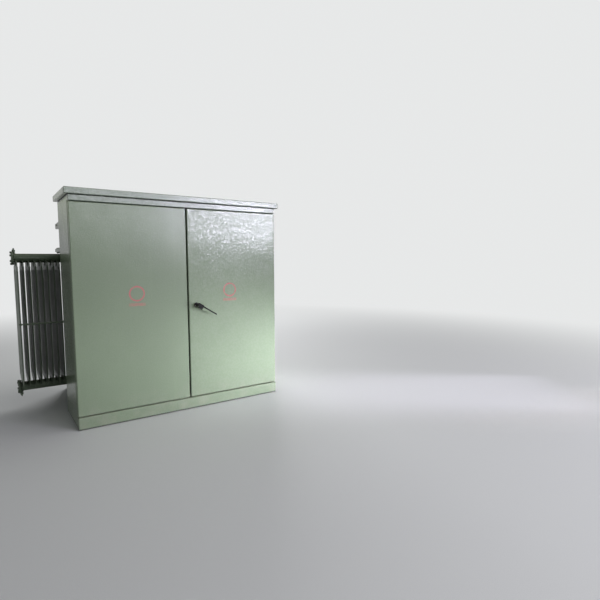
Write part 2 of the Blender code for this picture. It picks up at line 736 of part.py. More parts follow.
def radiator_plate_mesh():
    """One plate about its own middle, with the flutes joined on and its ends cut to fit round the headers."""
    blank = outline_mesh("radiator_plate", plate_outline(), PLATE_THICKNESS, YZ_PLANE)
    plate = helper("radiator_plate", blank)
    join(plate, helper("flutes", flutes()))
    for side in (-1, 1):
        place = Matrix.Translation((0, 0, side * HEADER_SPACING / 2)) @ header_turn(-1)
        round_cut = turned(f"saddle_{side}", header_cutter_profile(), place)
        CUTTERS.objects.link(round_cut)
        round_cut.hide_render = True
        round_cut.display_type = "WIRE"
        cut(plate, round_cut)
    mesh = baked(plate)
    mesh.materials.clear()
    mesh.materials.append(GREEN)
    return mesh


def header_cutter_profile():
    radius = HEADER_RADIUS + SEAT_GAP
    return ((0, OVERRUN), (radius, OVERRUN), (radius, -OVERRUN), (0, -OVERRUN))


def header_turn(side):
    """Turns a header's local Z to point outwards, on the left or right."""
    return Matrix.Rotation(side * math.pi / 2, 4, "Y")


def header_profile():
    """A radiator header from its outer flange to the valve on the tank's wall, with Z outwards from the wall."""
    outer = LAST_PLATE_OFFSET + HEADER_OUTREACH
    collar = outer - END_FLANGE_THICKNESS
    inner_flange = VALVE_FLANGE_THICKNESS + VALVE_BODY_LENGTH
    valve_end = inner_flange + VALVE_FLANGE_THICKNESS
    return (
        (0, outer),
        (END_FLANGE_RADIUS, outer),
        (END_FLANGE_RADIUS, collar),
        (HEADER_RADIUS, collar),
        (HEADER_RADIUS, valve_end),
        (VALVE_FLANGE_RADIUS, valve_end),
        (VALVE_FLANGE_RADIUS, inner_flange),
        (VALVE_BODY_RADIUS, inner_flange),
        (VALVE_BODY_RADIUS, VALVE_FLANGE_THICKNESS),
        (VALVE_FLANGE_RADIUS, VALVE_FLANGE_THICKNESS),
        (VALVE_FLANGE_RADIUS, 0),
        (0, 0),
    )


def radiator_header(name, side, height, upward):
    """A header pipe with its valve and end flange. A vent or a drain plug points up or down at its outer end."""
    wall = side * (TANK_WIDTH / 2 + SEAT_GAP)
    place = Matrix.Translation((wall, RADIATOR_CENTRE_Y, height)) @ header_turn(side)
    header = turned(name, header_profile(), place)
    PARTS.objects.link(header)
    header.data.materials.append(GREEN)
    outer = LAST_PLATE_OFFSET + HEADER_OUTREACH - END_FLANGE_THICKNESS
    plug_x = wall + side * (LAST_PLATE_OFFSET + outer) / 2
    length = HEADER_RADIUS + VENT_HEIGHT
    middle = height + upward * length / 2
    plug = rod_mesh(f"{name}_plug", VENT_RADIUS, length, along_z(plug_x, RADIATOR_CENTRE_Y, middle), steps=8)
    join(header, helper(f"{name}_plug", plug))


def tie_rod(name, side):
    """A round bar across the front edges of one bank's plates."""
    curve = bpy.data.curves.new(name, "CURVE")
    curve.dimensions = "3D"
    curve.bevel_depth = TIE_ROD_RADIUS
    curve.bevel_resolution = 2
    curve.use_fill_caps = True
    line = curve.splines.new("POLY")
    line.points.add(1)
    y = PLATE_FRONT_Y - TIE_ROD_RADIUS - SEAT_GAP
    wall = TANK_WIDTH / 2
    reaches = (FIRST_PLATE_OFFSET - TIE_ROD_OVERHANG, LAST_PLATE_OFFSET + TIE_ROD_OVERHANG)
    for point, reach in zip(line.points, reaches):
        point.co = (side * (wall + reach), y, TIE_ROD_HEIGHT, 1)
    rod = bpy.data.objects.new(name, curve)
    curve.materials.append(GREEN)
    PARTS.objects.link(rod)


def radiator_bank(name, side, plate_mesh):
    """Eight plates hung between two headers, with a bar across their front edges."""
    middle = (LOWER_HEADER_Z + UPPER_HEADER_Z) / 2
    for count in range(PLATE_COUNT):
        plate = add_object(f"{name}_plate_{count + 1}", plate_mesh, GREEN)
        offset = FIRST_PLATE_OFFSET + count * PLATE_PITCH
        plate.location = (side * (TANK_WIDTH / 2 + offset), RADIATOR_CENTRE_Y, middle)
    radiator_header(f"{name}_top_header", side, UPPER_HEADER_Z, 1)
    radiator_header(f"{name}_bottom_header", side, LOWER_HEADER_Z, -1)
    tie_rod(f"{name}_tie_rod", side)


def scaled_profile(shares, radius, length):
    return [(radius_share * radius, length_share * length) for radius_share, length_share in shares]


def bushing(name, x, height, profile, look):
    """A turned bushing on the tank's front wall, pointing at the doors."""
    thing = turned(name, profile, along_y(x, CABINET_REAR, height))
    PARTS.objects.link(thing)
    thing.data.materials.append(look)
    return thing


def hv_bushings():
    profile = scaled_profile(HV_BUSHING_SHARES, HV_BUSHING_RADIUS, HV_BUSHING_LENGTH)
    for count in range(HV_BUSHING_COUNT):
        x = HV_BUSHING_X + (count - (HV_BUSHING_COUNT - 1) / 2) * HV_BUSHING_PITCH
        bushing(f"hv_bushing_{count + 1}", x, HV_BUSHING_Z, profile, RESIN)


def lv_bushings():
    """Porcelain bushings, each with a flat upright terminal that has two bolt holes."""
    profile = scaled_profile(LV_BUSHING_SHARES, LV_BUSHING_RADIUS, LV_BUSHING_LENGTH)
    tip = CABINET_REAR - LV_BUSHING_LENGTH
    for count in range(LV_BUSHING_COUNT):
        x = LV_BUSHING_X + (count - (LV_BUSHING_COUNT - 1) / 2) * LV_BUSHING_PITCH
        name = f"lv_bushing_{count + 1}"
        thing = bushing(name, x, LV_BUSHING_Z, profile, PORCELAIN)
        low = (x - SPADE_THICKNESS / 2, tip - SPADE_LENGTH, LV_BUSHING_Z - SPADE_HEIGHT / 2)
        high = (x + SPADE_THICKNESS / 2, tip + SPADE_TUCK, LV_BUSHING_Z + SPADE_HEIGHT / 2)
        join(thing, helper(f"{name}_spade", box_mesh(f"{name}_spade", low, high)))
        for inset in SPADE_HOLE_INSETS:
            place = along_x(x, tip - SPADE_LENGTH + inset, LV_BUSHING_Z)
            cut(thing, helper(f"{name}_hole", rod_mesh(f"{name}_hole", SPADE_HOLE_RADIUS, OVERRUN, place, PIN_STEPS)))


base_frame()
front_sill()
header_rail()
cabinet_wall("cabinet_wall_left", -1)
cabinet_wall("cabinet_wall_right", 1)
cabinet_roof()
compartment_barrier()
back_panel()
door("door_left", -1)
shaft_hole(door("door_right", 1))
door_stiffener("door_left_stiffener", -1)
door_stiffener("door_right_stiffener", 1)
handle_plate()
door_handle()
tank_body()
tank_lid()
hood_roof()
hood_box()
hood_end("hood_end_left", -1)
hood_end("hood_end_right", 1)
PLATE_MESH = radiator_plate_mesh()
radiator_bank("radiator_left", -1, PLATE_MESH)
radiator_bank("radiator_right", 1, PLATE_MESH)
hv_bushings()
lv_bushings()
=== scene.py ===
"""Looks of the power transformer: paint, fasteners, welds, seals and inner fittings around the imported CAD.

Everything is in metres in the frame of the CAD: +X to the right as one faces the doors, +Y to the rear,
+Z up, and the floor at Z 0.
"""

import json
import math
import random

import bmesh
import bpy
from mathutils import Matrix, Vector


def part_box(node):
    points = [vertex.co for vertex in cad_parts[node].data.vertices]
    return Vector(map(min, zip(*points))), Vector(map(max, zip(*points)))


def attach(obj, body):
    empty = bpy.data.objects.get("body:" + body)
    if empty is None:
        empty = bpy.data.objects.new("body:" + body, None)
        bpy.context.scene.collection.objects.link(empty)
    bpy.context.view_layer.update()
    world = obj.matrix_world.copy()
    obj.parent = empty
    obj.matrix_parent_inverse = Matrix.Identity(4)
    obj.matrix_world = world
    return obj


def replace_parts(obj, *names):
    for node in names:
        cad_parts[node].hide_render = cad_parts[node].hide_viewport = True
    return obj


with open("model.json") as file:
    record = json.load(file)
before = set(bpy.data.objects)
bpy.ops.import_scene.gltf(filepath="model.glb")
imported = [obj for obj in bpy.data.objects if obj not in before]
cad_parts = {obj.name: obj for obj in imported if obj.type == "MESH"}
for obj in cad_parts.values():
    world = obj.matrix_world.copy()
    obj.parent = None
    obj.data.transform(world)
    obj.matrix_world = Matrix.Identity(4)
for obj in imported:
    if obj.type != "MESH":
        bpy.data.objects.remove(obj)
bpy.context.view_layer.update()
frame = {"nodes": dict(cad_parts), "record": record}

NODES = frame["nodes"]

# Camera, found from the photograph's lines.
CAMERA_PLACE = (-1.418, -4.7073, 1.317)
CAMERA_YAW_DEG = 35.12
CAMERA_PITCH_DEG = 5.11
CAMERA_ROLL_DEG = 0.22
CAMERA_LENS_MM = 26.64
CAMERA_SENSOR_MM = 36.0

# Stage.
FLOOR_HALF = 30.0
FLOOR_FADE_NEAR = 3.0
FLOOR_FADE_FAR = 9.0
BACKDROP = (0.80, 0.81, 0.81)
AMBIENT = (0.93, 0.97, 1.00)
AMBIENT_STRENGTH = 0.13
MIRRORED_SHARE = 0.4

FLOOR_DROP = 0.0005
FLOOR_TONES = ((0.70, 0.705, 0.70, 1.0), (0.74, 0.745, 0.74, 1.0))

# Lamps in panes, in rows and columns in front of the doors, whose gloss mirrors them.
PANE_COLUMNS = 9
PANE_POWERS = (2.0, 31.0, 43.0)
PANE_LEAST_SHARE = 0.05
PANE_DIMMED_COLUMNS = 2
PANE_BRIGHTENING_COLUMNS = 4
PANE_LEFT = 0.2
PANE_PITCH = 0.72
PANE_WIDTH = 0.40
PANE_HEIGHT = 0.46
PANE_BOTTOM = 1.35
PANE_RISE = 0.80
PANE_Y = -8.6
BAND_X = 1.50
BAND_Z = 2.74
DAYLIGHT = (0.87, 0.85, 1.0)

# Colours, as sRGB bytes.
GREEN_PAINT = (124, 140, 113)
GREY_GREEN_PAINT = (134, 146, 130)
# The radiators' green, duller and darker than the cabinet's: partly their own paint and partly painted shade.
DULL_RADIATOR_GREEN_WITH_SHADE = (98, 112, 92)
PALE_DUST = (176, 172, 158)
# Dark grime on rubbed edges, and painted shade under downward faces.
DARK_GRIME_AND_SHADE = (52, 54, 46)
# Painted shade for narrow gaps and a painted shadow along the foot.
CREVICE_SHADE = (22, 24, 20)
MARK_RED = (196, 92, 98)
PLASTIC_BLACK = (15, 16, 15)
WORN_PLASTIC = (70, 74, 70)
RUBBER_BLACK = (26, 26, 25)
RUBBER_DUST = (88, 86, 78)
RESIN_BROWN = (112, 48, 38)
GLAZE_BROWN = (92, 46, 28)
TINNED_GREY = (186, 186, 180)
ZINC_GREY = (176, 176, 170)
COPPER_RED = (176, 112, 78)

# Enamel. Grains are cells a metre of its orange peel, which is coarser on the right door.
ENAMEL_WAVE = 0.0016
GRAINS = 98.0
LEFT_DOOR_GRAINS = 125.0
RIGHT_DOOR_GRAINS = 68.0

# Marks on the doors: a ring, and a bar below it.
MARK_RADIUS = 0.058
MARK_LINE = 0.012
MARK_BLUR = 0.001
MARK_BAR_HALF = 1.15 * MARK_RADIUS
MARK_BAR_DROP = 1.55 * MARK_RADIUS
MARK_Z = 1.050
LEFT_MARK_X = -0.424
RIGHT_MARK_X = 0.411

# Radiators, as in the CAD, with the finer shapes of the pressed sheets.
HEADER_RADIUS = 0.040
END_FLANGE_RADIUS = 0.060
VALVE_FLANGE_RADIUS = 0.058
VALVE_BODY_RADIUS = 0.048
FLANGE_THICKNESS = 0.012
VALVE_BODY_END = 0.030
PLUG_FROM_END = 0.021
PLUG_TOP = 0.088
PLATE_RIM = 0.0015
PLATE_SADDLE_HALF = 0.060
SHOULDER_DROP = 0.018
SHOULDER_SLOPE = 0.020
SHOULDER_RADIUS = 0.022
FLUTE_COUNT = 7
FLUTE_GAP = 0.016
FLUTE_RISE = 0.0045
FLUTE_END_MARGIN = 0.085
PLATE_COUNT = 8
TIE_ROD_RADIUS = 0.006
END_BOLTS = 6
END_BOLT_CIRCLE = 0.050
END_BOLT_SIZE = 0.010
END_NUT_SIZE = 0.009
VALVE_BOLTS = 4
VALVE_BOLT_CIRCLE = 0.052
VALVE_BOLT_SIZE = 0.008
VALVE_ROD_RADIUS = 0.004
SPINDLE_SEAT = 0.003
CLIP_HALF_WIDTH = 0.007
CLIP_HALF_HEIGHT = 0.010
CLIP_FRONT = 0.003
CLIP_DEPTH = 0.014
SADDLE_WELD_STEPS = 14

# Tank and lid.
TANK_FLANGE_DROP = 0.018
LID_BOLT_SIZE = 0.012
LID_BOLT_INSET = 0.020
LID_BOLT_FRONT_INSET = 0.040
LID_BOLT_SIDE_PITCH = 0.080
LID_BOLT_REAR_PITCH = 0.090
LID_BOLT_HOOD_OVERLAP = 0.030
STIFFENER_PLACES = (-0.5, 0.0, 0.5)
STIFFENER_HALF = 0.045
STIFFENER_FOOT = 0.062
STIFFENER_HEAD = 0.080
WELD_CORNER = 0.020
SIDE_WELD_FRONT = -0.380
HOOD_WELD_FRONT = 0.010
HOOD_WELD_REAR = 0.100

# Doors' insides.
SHEET = 0.003
DOOR_DEPTH = 0.035
DOOR_LIP = 0.018
DOOR_BOTTOM = 0.105
DOOR_TOP = 1.765
SEAL_WIDTH = 0.012
SEAL_THICKNESS = 0.007

# Low-voltage terminals, and the rings that clamp all bushings.
TERMINAL_LENGTH = 0.100
CLAMP_GAP = 0.0006
CLAMP_REACH = 0.017
CLAMP_THICKNESS = 0.010
CLAMP_CHAMFER = 0.001
CLAMP_NUT_SIZE = 0.008

# Shared sizes of small pieces.
BOLT_STEPS = 24
FINE_STEPS = 48
HEX_SIDES = 6
EDGE_RADIUS = 0.0018
SILL_GAP_Z = 0.103

# The colour sockets of a Mix node, whose names repeat those of its other types.
MIX_SHARE = 0
MIX_FIRST = 6
MIX_SECOND = 7
MIX_RESULT = 2


def linear(colour):
    """An sRGB colour of bytes as linear values with alpha."""
    values = []
    for byte in colour:
        share = byte / 255
        values.append(share / 12.92 if share <= 0.04045 else ((share + 0.055) / 1.055) ** 2.4)
    return (*values, 1.0)


def shaded(colour, factor):
    """A linear colour made darker or lighter."""
    return (*(value * factor for value in colour[:3]), 1.0)


class Look:
    """A node material, with short calls that each add a node and return its output."""

    def __init__(self, name):
        self.material = bpy.data.materials.new(name)
        self.material.use_nodes = True
        self.tree = self.material.node_tree
        self.shader = self.tree.nodes["Principled BSDF"]
        self.place = self.node("ShaderNodeTexCoord", output="Object")

    def feed(self, socket, value):
        """Links a socket to another node's output, or gives it a value."""
        if isinstance(value, bpy.types.NodeSocket):
            self.tree.links.new(value, socket)
        else:
            socket.default_value = value

    def node(self, kind, inputs=None, output=0, **settings):
        """Adds a node with its settings and inputs."""
        made = self.tree.nodes.new(kind)
        for key, value in settings.items():
            setattr(made, key, value)
        for key, value in (inputs or {}).items():
            self.feed(made.inputs[key], value)
        return made.outputs[output]

    def set(self, **inputs):
        """Feeds the shader's inputs, whose names have _ for each space."""
        for key, value in inputs.items():
            self.feed(self.shader.inputs[key.replace("_", " ")], value)

    def noise(self, scale, detail=2.0, stretch=None, roughness=0.5):
        """Smooth noise about 0.5 with cells of 1/scale metres, stretched along the axes if asked."""
        place = self.place
        if stretch:
            place = self.node("ShaderNodeMapping", {"Vector": place, "Scale": stretch})
        inputs = {"Vector": place, "Scale": scale, "Detail": detail, "Roughness": roughness}
        return self.node("ShaderNodeTexNoise", inputs)

    def axis(self, name):
        """The place along one axis."""
        return self.node("ShaderNodeSeparateXYZ", {0: self.place}, output=name)

    def facing(self, name):
        """One part of the surface's own direction, before bump."""
        normal = self.node("ShaderNodeNewGeometry", output="True Normal")
        return self.node("ShaderNodeSeparateXYZ", {0: normal}, output=name)

    def smooth(self, value, low, high, to_low=0.0, to_high=1.0):
        """A soft step from to_low at low to to_high at high."""
        inputs = {"Value": value, "From Min": low, "From Max": high, "To Min": to_low, "To Max": to_high}
        return self.node("ShaderNodeMapRange", inputs, interpolation_type="SMOOTHSTEP")

    def maths(self, operation, first, second=0.0):
        """One operation on a value or two."""
        return self.node("ShaderNodeMath", {0: first, 1: second}, operation=operation)

    def mix(self, share, first, second):
        """The first colour where share is 0, and the second where it is 1."""
        made = self.tree.nodes.new("ShaderNodeMix")
        made.data_type = "RGBA"
        for socket, value in ((MIX_SHARE, share), (MIX_FIRST, first), (MIX_SECOND, second)):
            self.feed(made.inputs[socket], value)
        return made.outputs[MIX_RESULT]

    def bump(self, height, distance, normal=None):
        """A normal tilted by a height of up to distance, on top of another normal if there is one."""
        inputs = {"Height": height, "Distance": distance, "Strength": 1.0}
        if normal:
            inputs["Normal"] = normal
        return self.node("ShaderNodeBump", inputs)

    def edges(self):
        """The normal rounded over the piece's edges, and a mask that is 1 along them."""
        rounded = self.node("ShaderNodeBevel", {"Radius": EDGE_RADIUS}, samples=4)
        flat = self.node("ShaderNodeNewGeometry", output="True Normal")
        inputs = {0: rounded, 1: flat}
        match = self.node("ShaderNodeVectorMath", inputs, output="Value", operation="DOT_PRODUCT")
        return rounded, self.smooth(match, 0.985, 0.80)

    def crevices(self, reach):
        """A mask that is 1 deep in gaps and corners narrower than reach."""
        open_share = self.node("ShaderNodeAmbientOcclusion", {"Distance": reach}, output="AO", samples=4)
        return self.smooth(open_share, 0.70, 0.25)


def gloss_paint(name, colour, roughness=0.36, mark_x=None, grain=GRAINS, coat=1.0):
    """Sprayed enamel on sheet steel: orange peel, slight waves, dust, rubbed edges, a painted highlight along
    the edges, and painted shade in gaps, along the foot and under downward faces.
    """
    look = Look(name)
    base = linear(colour)
    height = look.axis("Z")
    cloud = look.noise(1.1, detail=2.0)
    blotch = look.noise(7.0, detail=4.0, roughness=0.6)
    streaks = look.noise(1.0, detail=3.0, stretch=(26.0, 26.0, 0.9))
    specks = look.noise(160.0, detail=2.0)
    rounded, edge = look.edges()

    tone = look.mix(look.smooth(cloud, 0.30, 0.70), shaded(base, 0.94), shaded(base, 1.05))
    tone = look.mix(look.smooth(blotch, 0.35, 0.75, 0.0, 0.35), tone, shaded(base, 0.93))
    tone = look.mix(look.smooth(streaks, 0.55, 0.78, 0.0, 0.22), tone, shaded(base, 1.12))

    low = look.smooth(height, 0.30, 0.0)
    low_dust = look.maths("MULTIPLY", low, look.smooth(blotch, 0.35, 0.75, 0.0, 0.22))
    lying = look.smooth(look.facing("Z"), 0.55, 0.95)
    lying_dust = look.maths("MULTIPLY", lying, look.smooth(blotch, 0.25, 0.75, 0.12, 0.36))
    dust = look.maths("MAXIMUM", low_dust, lying_dust)
    tone = look.mix(dust, tone, linear(PALE_DUST))

    rubbed = look.maths("MULTIPLY", edge, look.smooth(specks, 0.58, 0.72))
    # Painted highlight: a lighter copy of the paint along every edge.
    tone = look.mix(look.maths("MULTIPLY", edge, 0.18), tone, shaded(base, 1.5))
    tone = look.mix(look.maths("MULTIPLY", rubbed, 0.5), tone, linear(DARK_GRIME_AND_SHADE))
    if mark_x is not None:
        tone = look.mix(mark_mask(look, mark_x), tone, linear(MARK_RED))
    # Painted shade: darkest deep in narrow gaps and faint at the sill's gap, plus a painted shadow band along
    # the foot.
    from_sill_gap = look.maths("ABSOLUTE", look.maths("SUBTRACT", height, SILL_GAP_Z))
    painted_gap_shade = look.maths("MULTIPLY", look.crevices(0.022), look.smooth(from_sill_gap, 0.012, 0.030, 0.10, 0.88))
    painted_gap_shade = look.maths("MAXIMUM", painted_gap_shade, look.smooth(height, 0.016, 0.003, 0.0, 0.80))
    tone = look.mix(painted_gap_shade, tone, linear(CREVICE_SHADE))
    # Painted shade on faces that look down, such as under the roof's lip.
    tone = look.mix(look.smooth(look.facing("Z"), -0.55, -0.95, 0.0, 0.55), tone, linear(DARK_GRIME_AND_SHADE))

    sheen = look.smooth(blotch, 0.25, 0.75, roughness - 0.04, roughness + 0.06)
    dulled = look.maths("MAXIMUM", look.maths("MULTIPLY", dust, 0.75), look.maths("MULTIPLY", lying, 0.62))
    look.set(Base_Color=tone, Roughness=look.maths("MAXIMUM", sheen, dulled))
    grains = look.noise(grain, detail=2.0)
    clean = look.smooth(lying, 0.0, 0.6, coat, 0.12 * coat)
    look.set(Coat_Weight=look.maths("MULTIPLY", clean, look.smooth(grains, 0.43, 0.58, 0.30, 1.0)))
    look.set(Coat_Roughness=look.smooth(lying, 0.0, 1.0, 0.05, 0.60))
    look.set(Specular_IOR_Level=look.maths("MULTIPLY", clean, look.smooth(grains, 0.43, 0.58, 0.34, 0.68)))

    waved = look.bump(look.noise(3.2, detail=1.0), ENAMEL_WAVE, rounded)
    peel = look.noise(0.88 * grain, detail=2.0)
    look.set(Normal=look.bump(peel, 0.0006, waved), Coat_Normal=look.bump(peel, 0.0010, waved))
    return look.material


def mark_mask(look, centre_x):
    """A faded stencilled ring on a door's front, with a plain bar below it."""
    across = look.maths("SUBTRACT", look.axis("X"), centre_x)
    up = look.maths("SUBTRACT", look.axis("Z"), MARK_Z)
    squares = look.maths("ADD", look.maths("POWER", across, 2.0), look.maths("POWER", up, 2.0))
    off = look.maths("ABSOLUTE", look.maths("SUBTRACT", look.maths("SQRT", squares), MARK_RADIUS))
    line = look.smooth(off, MARK_LINE / 2 + MARK_BLUR, MARK_LINE / 2 - MARK_BLUR)
    beside = look.smooth(look.maths("ABSOLUTE", across), MARK_BAR_HALF + MARK_BLUR, MARK_BAR_HALF - MARK_BLUR)
    below = look.maths("ABSOLUTE", look.maths("ADD", up, MARK_BAR_DROP))
    bar = look.maths("MULTIPLY", beside, look.smooth(below, MARK_LINE + MARK_BLUR, MARK_LINE - MARK_BLUR))
    drawn = look.maths("MAXIMUM", line, look.maths("MULTIPLY", bar, 0.55))
    front = look.smooth(look.facing("Y"), -0.5, -0.9)
    faded = look.smooth(look.noise(60.0, detail=3.0), 0.25, 0.60, 0.40, 0.80)
    return look.maths("MULTIPLY", look.maths("MULTIPLY", drawn, front), faded)


def plastic(name, colour, roughness):
    """Moulded black plastic with a fine grain and paler worn edges."""
    look = Look(name)
    base = linear(colour)
    rounded, edge = look.edges()
    blotch = look.noise(45.0, detail=4.0)
    tone = look.mix(look.smooth(blotch, 0.35, 0.70, 0.0, 0.6), base, shaded(base, 1.7))
    worn = look.maths("MULTIPLY", edge, look.smooth(blotch, 0.45, 0.65, 0.0, 0.25))
    tone = look.mix(worn, tone, linear(WORN_PLASTIC))
    look.set(Base_Color=tone, Roughness=look.smooth(blotch, 0.3, 0.7, roughness - 0.06, roughness + 0.1))
    look.set(Normal=look.bump(look.noise(900.0, detail=1.0), 0.00006, rounded), Specular_IOR_Level=0.3)
    return look.material


def metal(name, colour, roughness):
    """Bare or plated metal with dull spots."""
    look = Look(name)
    base = linear(colour)
    blotch = look.noise(30.0, detail=4.0)
    tone = look.mix(look.smooth(blotch, 0.45, 0.75, 0.0, 0.5), base, shaded(base, 0.70))
    look.set(Base_Color=tone, Metallic=0.9)
    look.set(Roughness=look.smooth(blotch, 0.3, 0.7, roughness - 0.07, roughness + 0.14))
    look.set(Normal=look.bump(look.noise(400.0, detail=2.0), 0.00006, look.edges()[0]))
    return look.material


def rubber(name, colour):
    """Black foam or rubber for seals, dusty on top."""
    look = Look(name)
    base = linear(colour)
    pores = look.noise(500.0, detail=2.0)
    dusted = look.smooth(look.noise(20.0, detail=4.0), 0.35, 0.75, 0.0, 0.5)
    tone = look.mix(dusted, base, linear(RUBBER_DUST))
    look.set(Base_Color=tone, Roughness=look.smooth(pores, 0.3, 0.7, 0.75, 0.95))
    look.set(Normal=look.bump(pores, 0.0004))
    return look.material


def glaze(name, colour, tip_y):
    """Fired brown glaze, glossy and a little uneven, with a tinned terminal in front of tip_y."""
    look = Look(name)
    base = linear(colour)
    cloud = look.noise(18.0, detail=4.0)
    tone = look.mix(look.smooth(cloud, 0.3, 0.7), shaded(base, 0.75), shaded(base, 1.25))
    tinned = look.smooth(look.axis("Y"), tip_y, tip_y - 0.0005)
    dull = look.smooth(look.noise(120.0, detail=3.0), 0.3, 0.7, 0.30, 0.48)
    tone = look.mix(tinned, tone, linear(TINNED_GREY))
    look.set(Base_Color=tone, Metallic=look.maths("MULTIPLY", tinned, 0.95))
    glossy = look.smooth(cloud, 0.3, 0.7, 0.08, 0.2)
    look.set(Roughness=look.maths("MAXIMUM", glossy, look.maths("MULTIPLY", tinned, dull)))
    look.set(Normal=look.bump(look.noise(40.0, detail=2.0), 0.0003, look.edges()[0]))
    return look.material


def cast_resin(name, colour):
    """Matt red-brown cast resin with faint flow marks and dust."""
    look = Look(name)
    base = linear(colour)
    flow = look.noise(1.0, detail=3.0, stretch=(60.0, 12.0, 60.0))
    tone = look.mix(look.smooth(flow, 0.3, 0.7), shaded(base, 0.8), shaded(base, 1.2))
    tone = look.mix(look.smooth(look.facing("Z"), 0.4, 0.95, 0.0, 0.3), tone, linear(PALE_DUST))
    look.set(Base_Color=tone, Roughness=look.smooth(flow, 0.3, 0.7, 0.32, 0.5))
    look.set(Normal=look.bump(look.noise(250.0, detail=2.0), 0.00008))
    return look.material


class Piece:
    """A mesh in the making, built up from closed forms in the frame's metres."""

    def __init__(self, name, material, body="root", slot=None):
        self.name = name
        self.material = material
        self.body = body
        self.slot = slot
        self.mesh = bmesh.new()

    def lathe(self, profile, place, steps=BOLT_STEPS, looped=False):
        """A profile of (radius, height) turned about the local Z of place, closed by radius 0 or looped."""
        rings = []
        for radius, height in profile:
            if radius == 0:
                rings.append([self.mesh.verts.new(place @ Vector((0, 0, height)))])
                continue
            ring = []
            for step in range(steps):
                angle = math.tau * step / steps
                point = Vector((radius * math.cos(angle), radius * math.sin(angle), height))
                ring.append(self.mesh.verts.new(place @ point))
            rings.append(ring)
        if looped:
            rings.append(rings[0])
        for first, second in zip(rings, rings[1:]):
            self.skin(first, second)

    def skin(self, first, second):
        """Faces between two closed rings, either of which may be a single point."""
        count = max(len(first), len(second))
        for step in range(count):
            after = (step + 1) % count
            corners = [first[step % len(first)], first[after % len(first)]]
            corners += [second[after % len(second)], second[step % len(second)]]
            unique = []
            for corner in corners:
                if corner not in unique:
                    unique.append(corner)
            if len(unique) > 2:
                self.mesh.faces.new(unique)

    def box(self, low, high, place=Matrix(), bevel=0.0):
        """A box between two corners, with its edges rounded off."""
        low = Vector(low)
        high = Vector(high)
        shape = bmesh.new()
        spread = Matrix.Translation((low + high) / 2) @ Matrix.Diagonal((*(high - low), 1.0))
        bmesh.ops.create_cube(shape, size=1.0, matrix=spread)
        if bevel:
            bmesh.ops.bevel(shape, geom=shape.edges, offset=bevel, segments=2, affect="EDGES", profile=0.5)
        self.take(shape, place)

    def tube(self, points, radius, steps=12, ripple=0.0):
        """A round bar along points. Ripple makes it swell and pinch, as a weld bead does."""
        points = [Vector(point) for point in points]
        rings = []
        side = None
        for count, point in enumerate(points):
            ahead = points[min(count + 1, len(points) - 1)]
            behind = points[max(count - 1, 0)]
            along = (ahead - behind).normalized()
            if side is None:
                side = along.orthogonal().normalized()
            side = (side - along * side.dot(along)).normalized()
            other = along.cross(side)
            reach = radius * (1 + ripple * DICE.uniform(-1, 1))
            ring = []
            for step in range(steps):
                angle = math.tau * step / steps
                offset = side * math.cos(angle) + other * math.sin(angle)
                ring.append(self.mesh.verts.new(point + offset * reach))
            rings.append(ring)
        first = [self.mesh.verts.new(points[0])]
        last = [self.mesh.verts.new(points[-1])]
        for one, two in zip([first, *rings], [*rings, last]):
            self.skin(one, two)

    def take(self, shape, place):
        """Adds another mesh at a place and frees it."""
        bmesh.ops.transform(shape, matrix=place, verts=shape.verts)
        spare = bpy.data.meshes.new("spare")
        shape.to_mesh(spare)
        shape.free()
        self.mesh.from_mesh(spare)
        bpy.data.meshes.remove(spare)

    def done(self, sharp_deg=35.0):
        """The finished object, riding on its body."""
        bmesh.ops.recalc_face_normals(self.mesh, faces=self.mesh.faces)
        data = bpy.data.meshes.new(self.name)
        self.mesh.to_mesh(data)
        self.mesh.free()
        data.materials.append(self.material)
        for face in data.polygons:
            face.use_smooth = True
        data.set_sharp_from_angle(angle=math.radians(sharp_deg))
        thing = bpy.data.objects.new(self.name, data)
        bpy.context.scene.collection.objects.link(thing)
        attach(thing, self.body)
        return thing


DICE = random.Random(7)


def turned_to(x, y, z, direction):
    """A place whose local Z points along direction."""
    return Matrix.Translation((x, y, z)) @ Vector(direction).to_track_quat("Z", "Y").to_matrix().to_4x4()


def hex_bolt(piece, place, size, spin=0.0, washer=True):
    """A hexagon bolt head on a washer, standing on the local Z of place. Size is the thread's diameter."""
    washer_height = 0.20 * size if washer else 0.0
    if washer:
        rim = 0.7 * washer_height
        disc = ((0, 0), (size, 0), (size, rim), (0.93 * size, washer_height), (0, washer_height))
        piece.lathe(disc, place)
    across = 0.80 * size / math.cos(math.pi / HEX_SIDES)
    top = washer_height + 0.64 * size
    turn = place @ Matrix.Rotation(spin, 4, "Z")
    side_top = top - 0.08 * size
    side = ((0, washer_height), (across, washer_height), (across, side_top))
    piece.lathe((*side, (0.86 * across, top), (0, top)), turn, steps=HEX_SIDES)


def nut_and_tip(piece, place, size, spin=0.0):
    """A nut with the bolt's end standing out of it, on the local Z of place."""
    across = 0.80 * size / math.cos(math.pi / HEX_SIDES)
    height = 0.8 * size
    turn = place @ Matrix.Rotation(spin, 4, "Z")
    nut = ((0, 0), (0.9 * across, 0), (across, 0.08 * size), (across, height), (0, height))
    piece.lathe(nut, turn, steps=HEX_SIDES)
    tip = height + 0.45 * size
    end = ((0, height), (size / 2, height), (size / 2, tip - 0.1 * size), (0.38 * size, tip), (0, tip))
    piece.lathe(end, place)


def weld(piece, start, end, radius=0.0035, step=0.006):
    """A straight weld bead from start to end."""
    start = Vector(start)
    end = Vector(end)
    count = max(2, round((end - start).length / step))
    piece.tube([start.lerp(end, number / count) for number in range(count + 1)], radius, steps=8, ripple=0.16)


def spaced(low, high, pitch):
    """Places from low to high, evenly spaced at about the pitch."""
    count = max(1, round((high - low) / pitch))
    return [low + (high - low) * number / count for number in range(count + 1)]


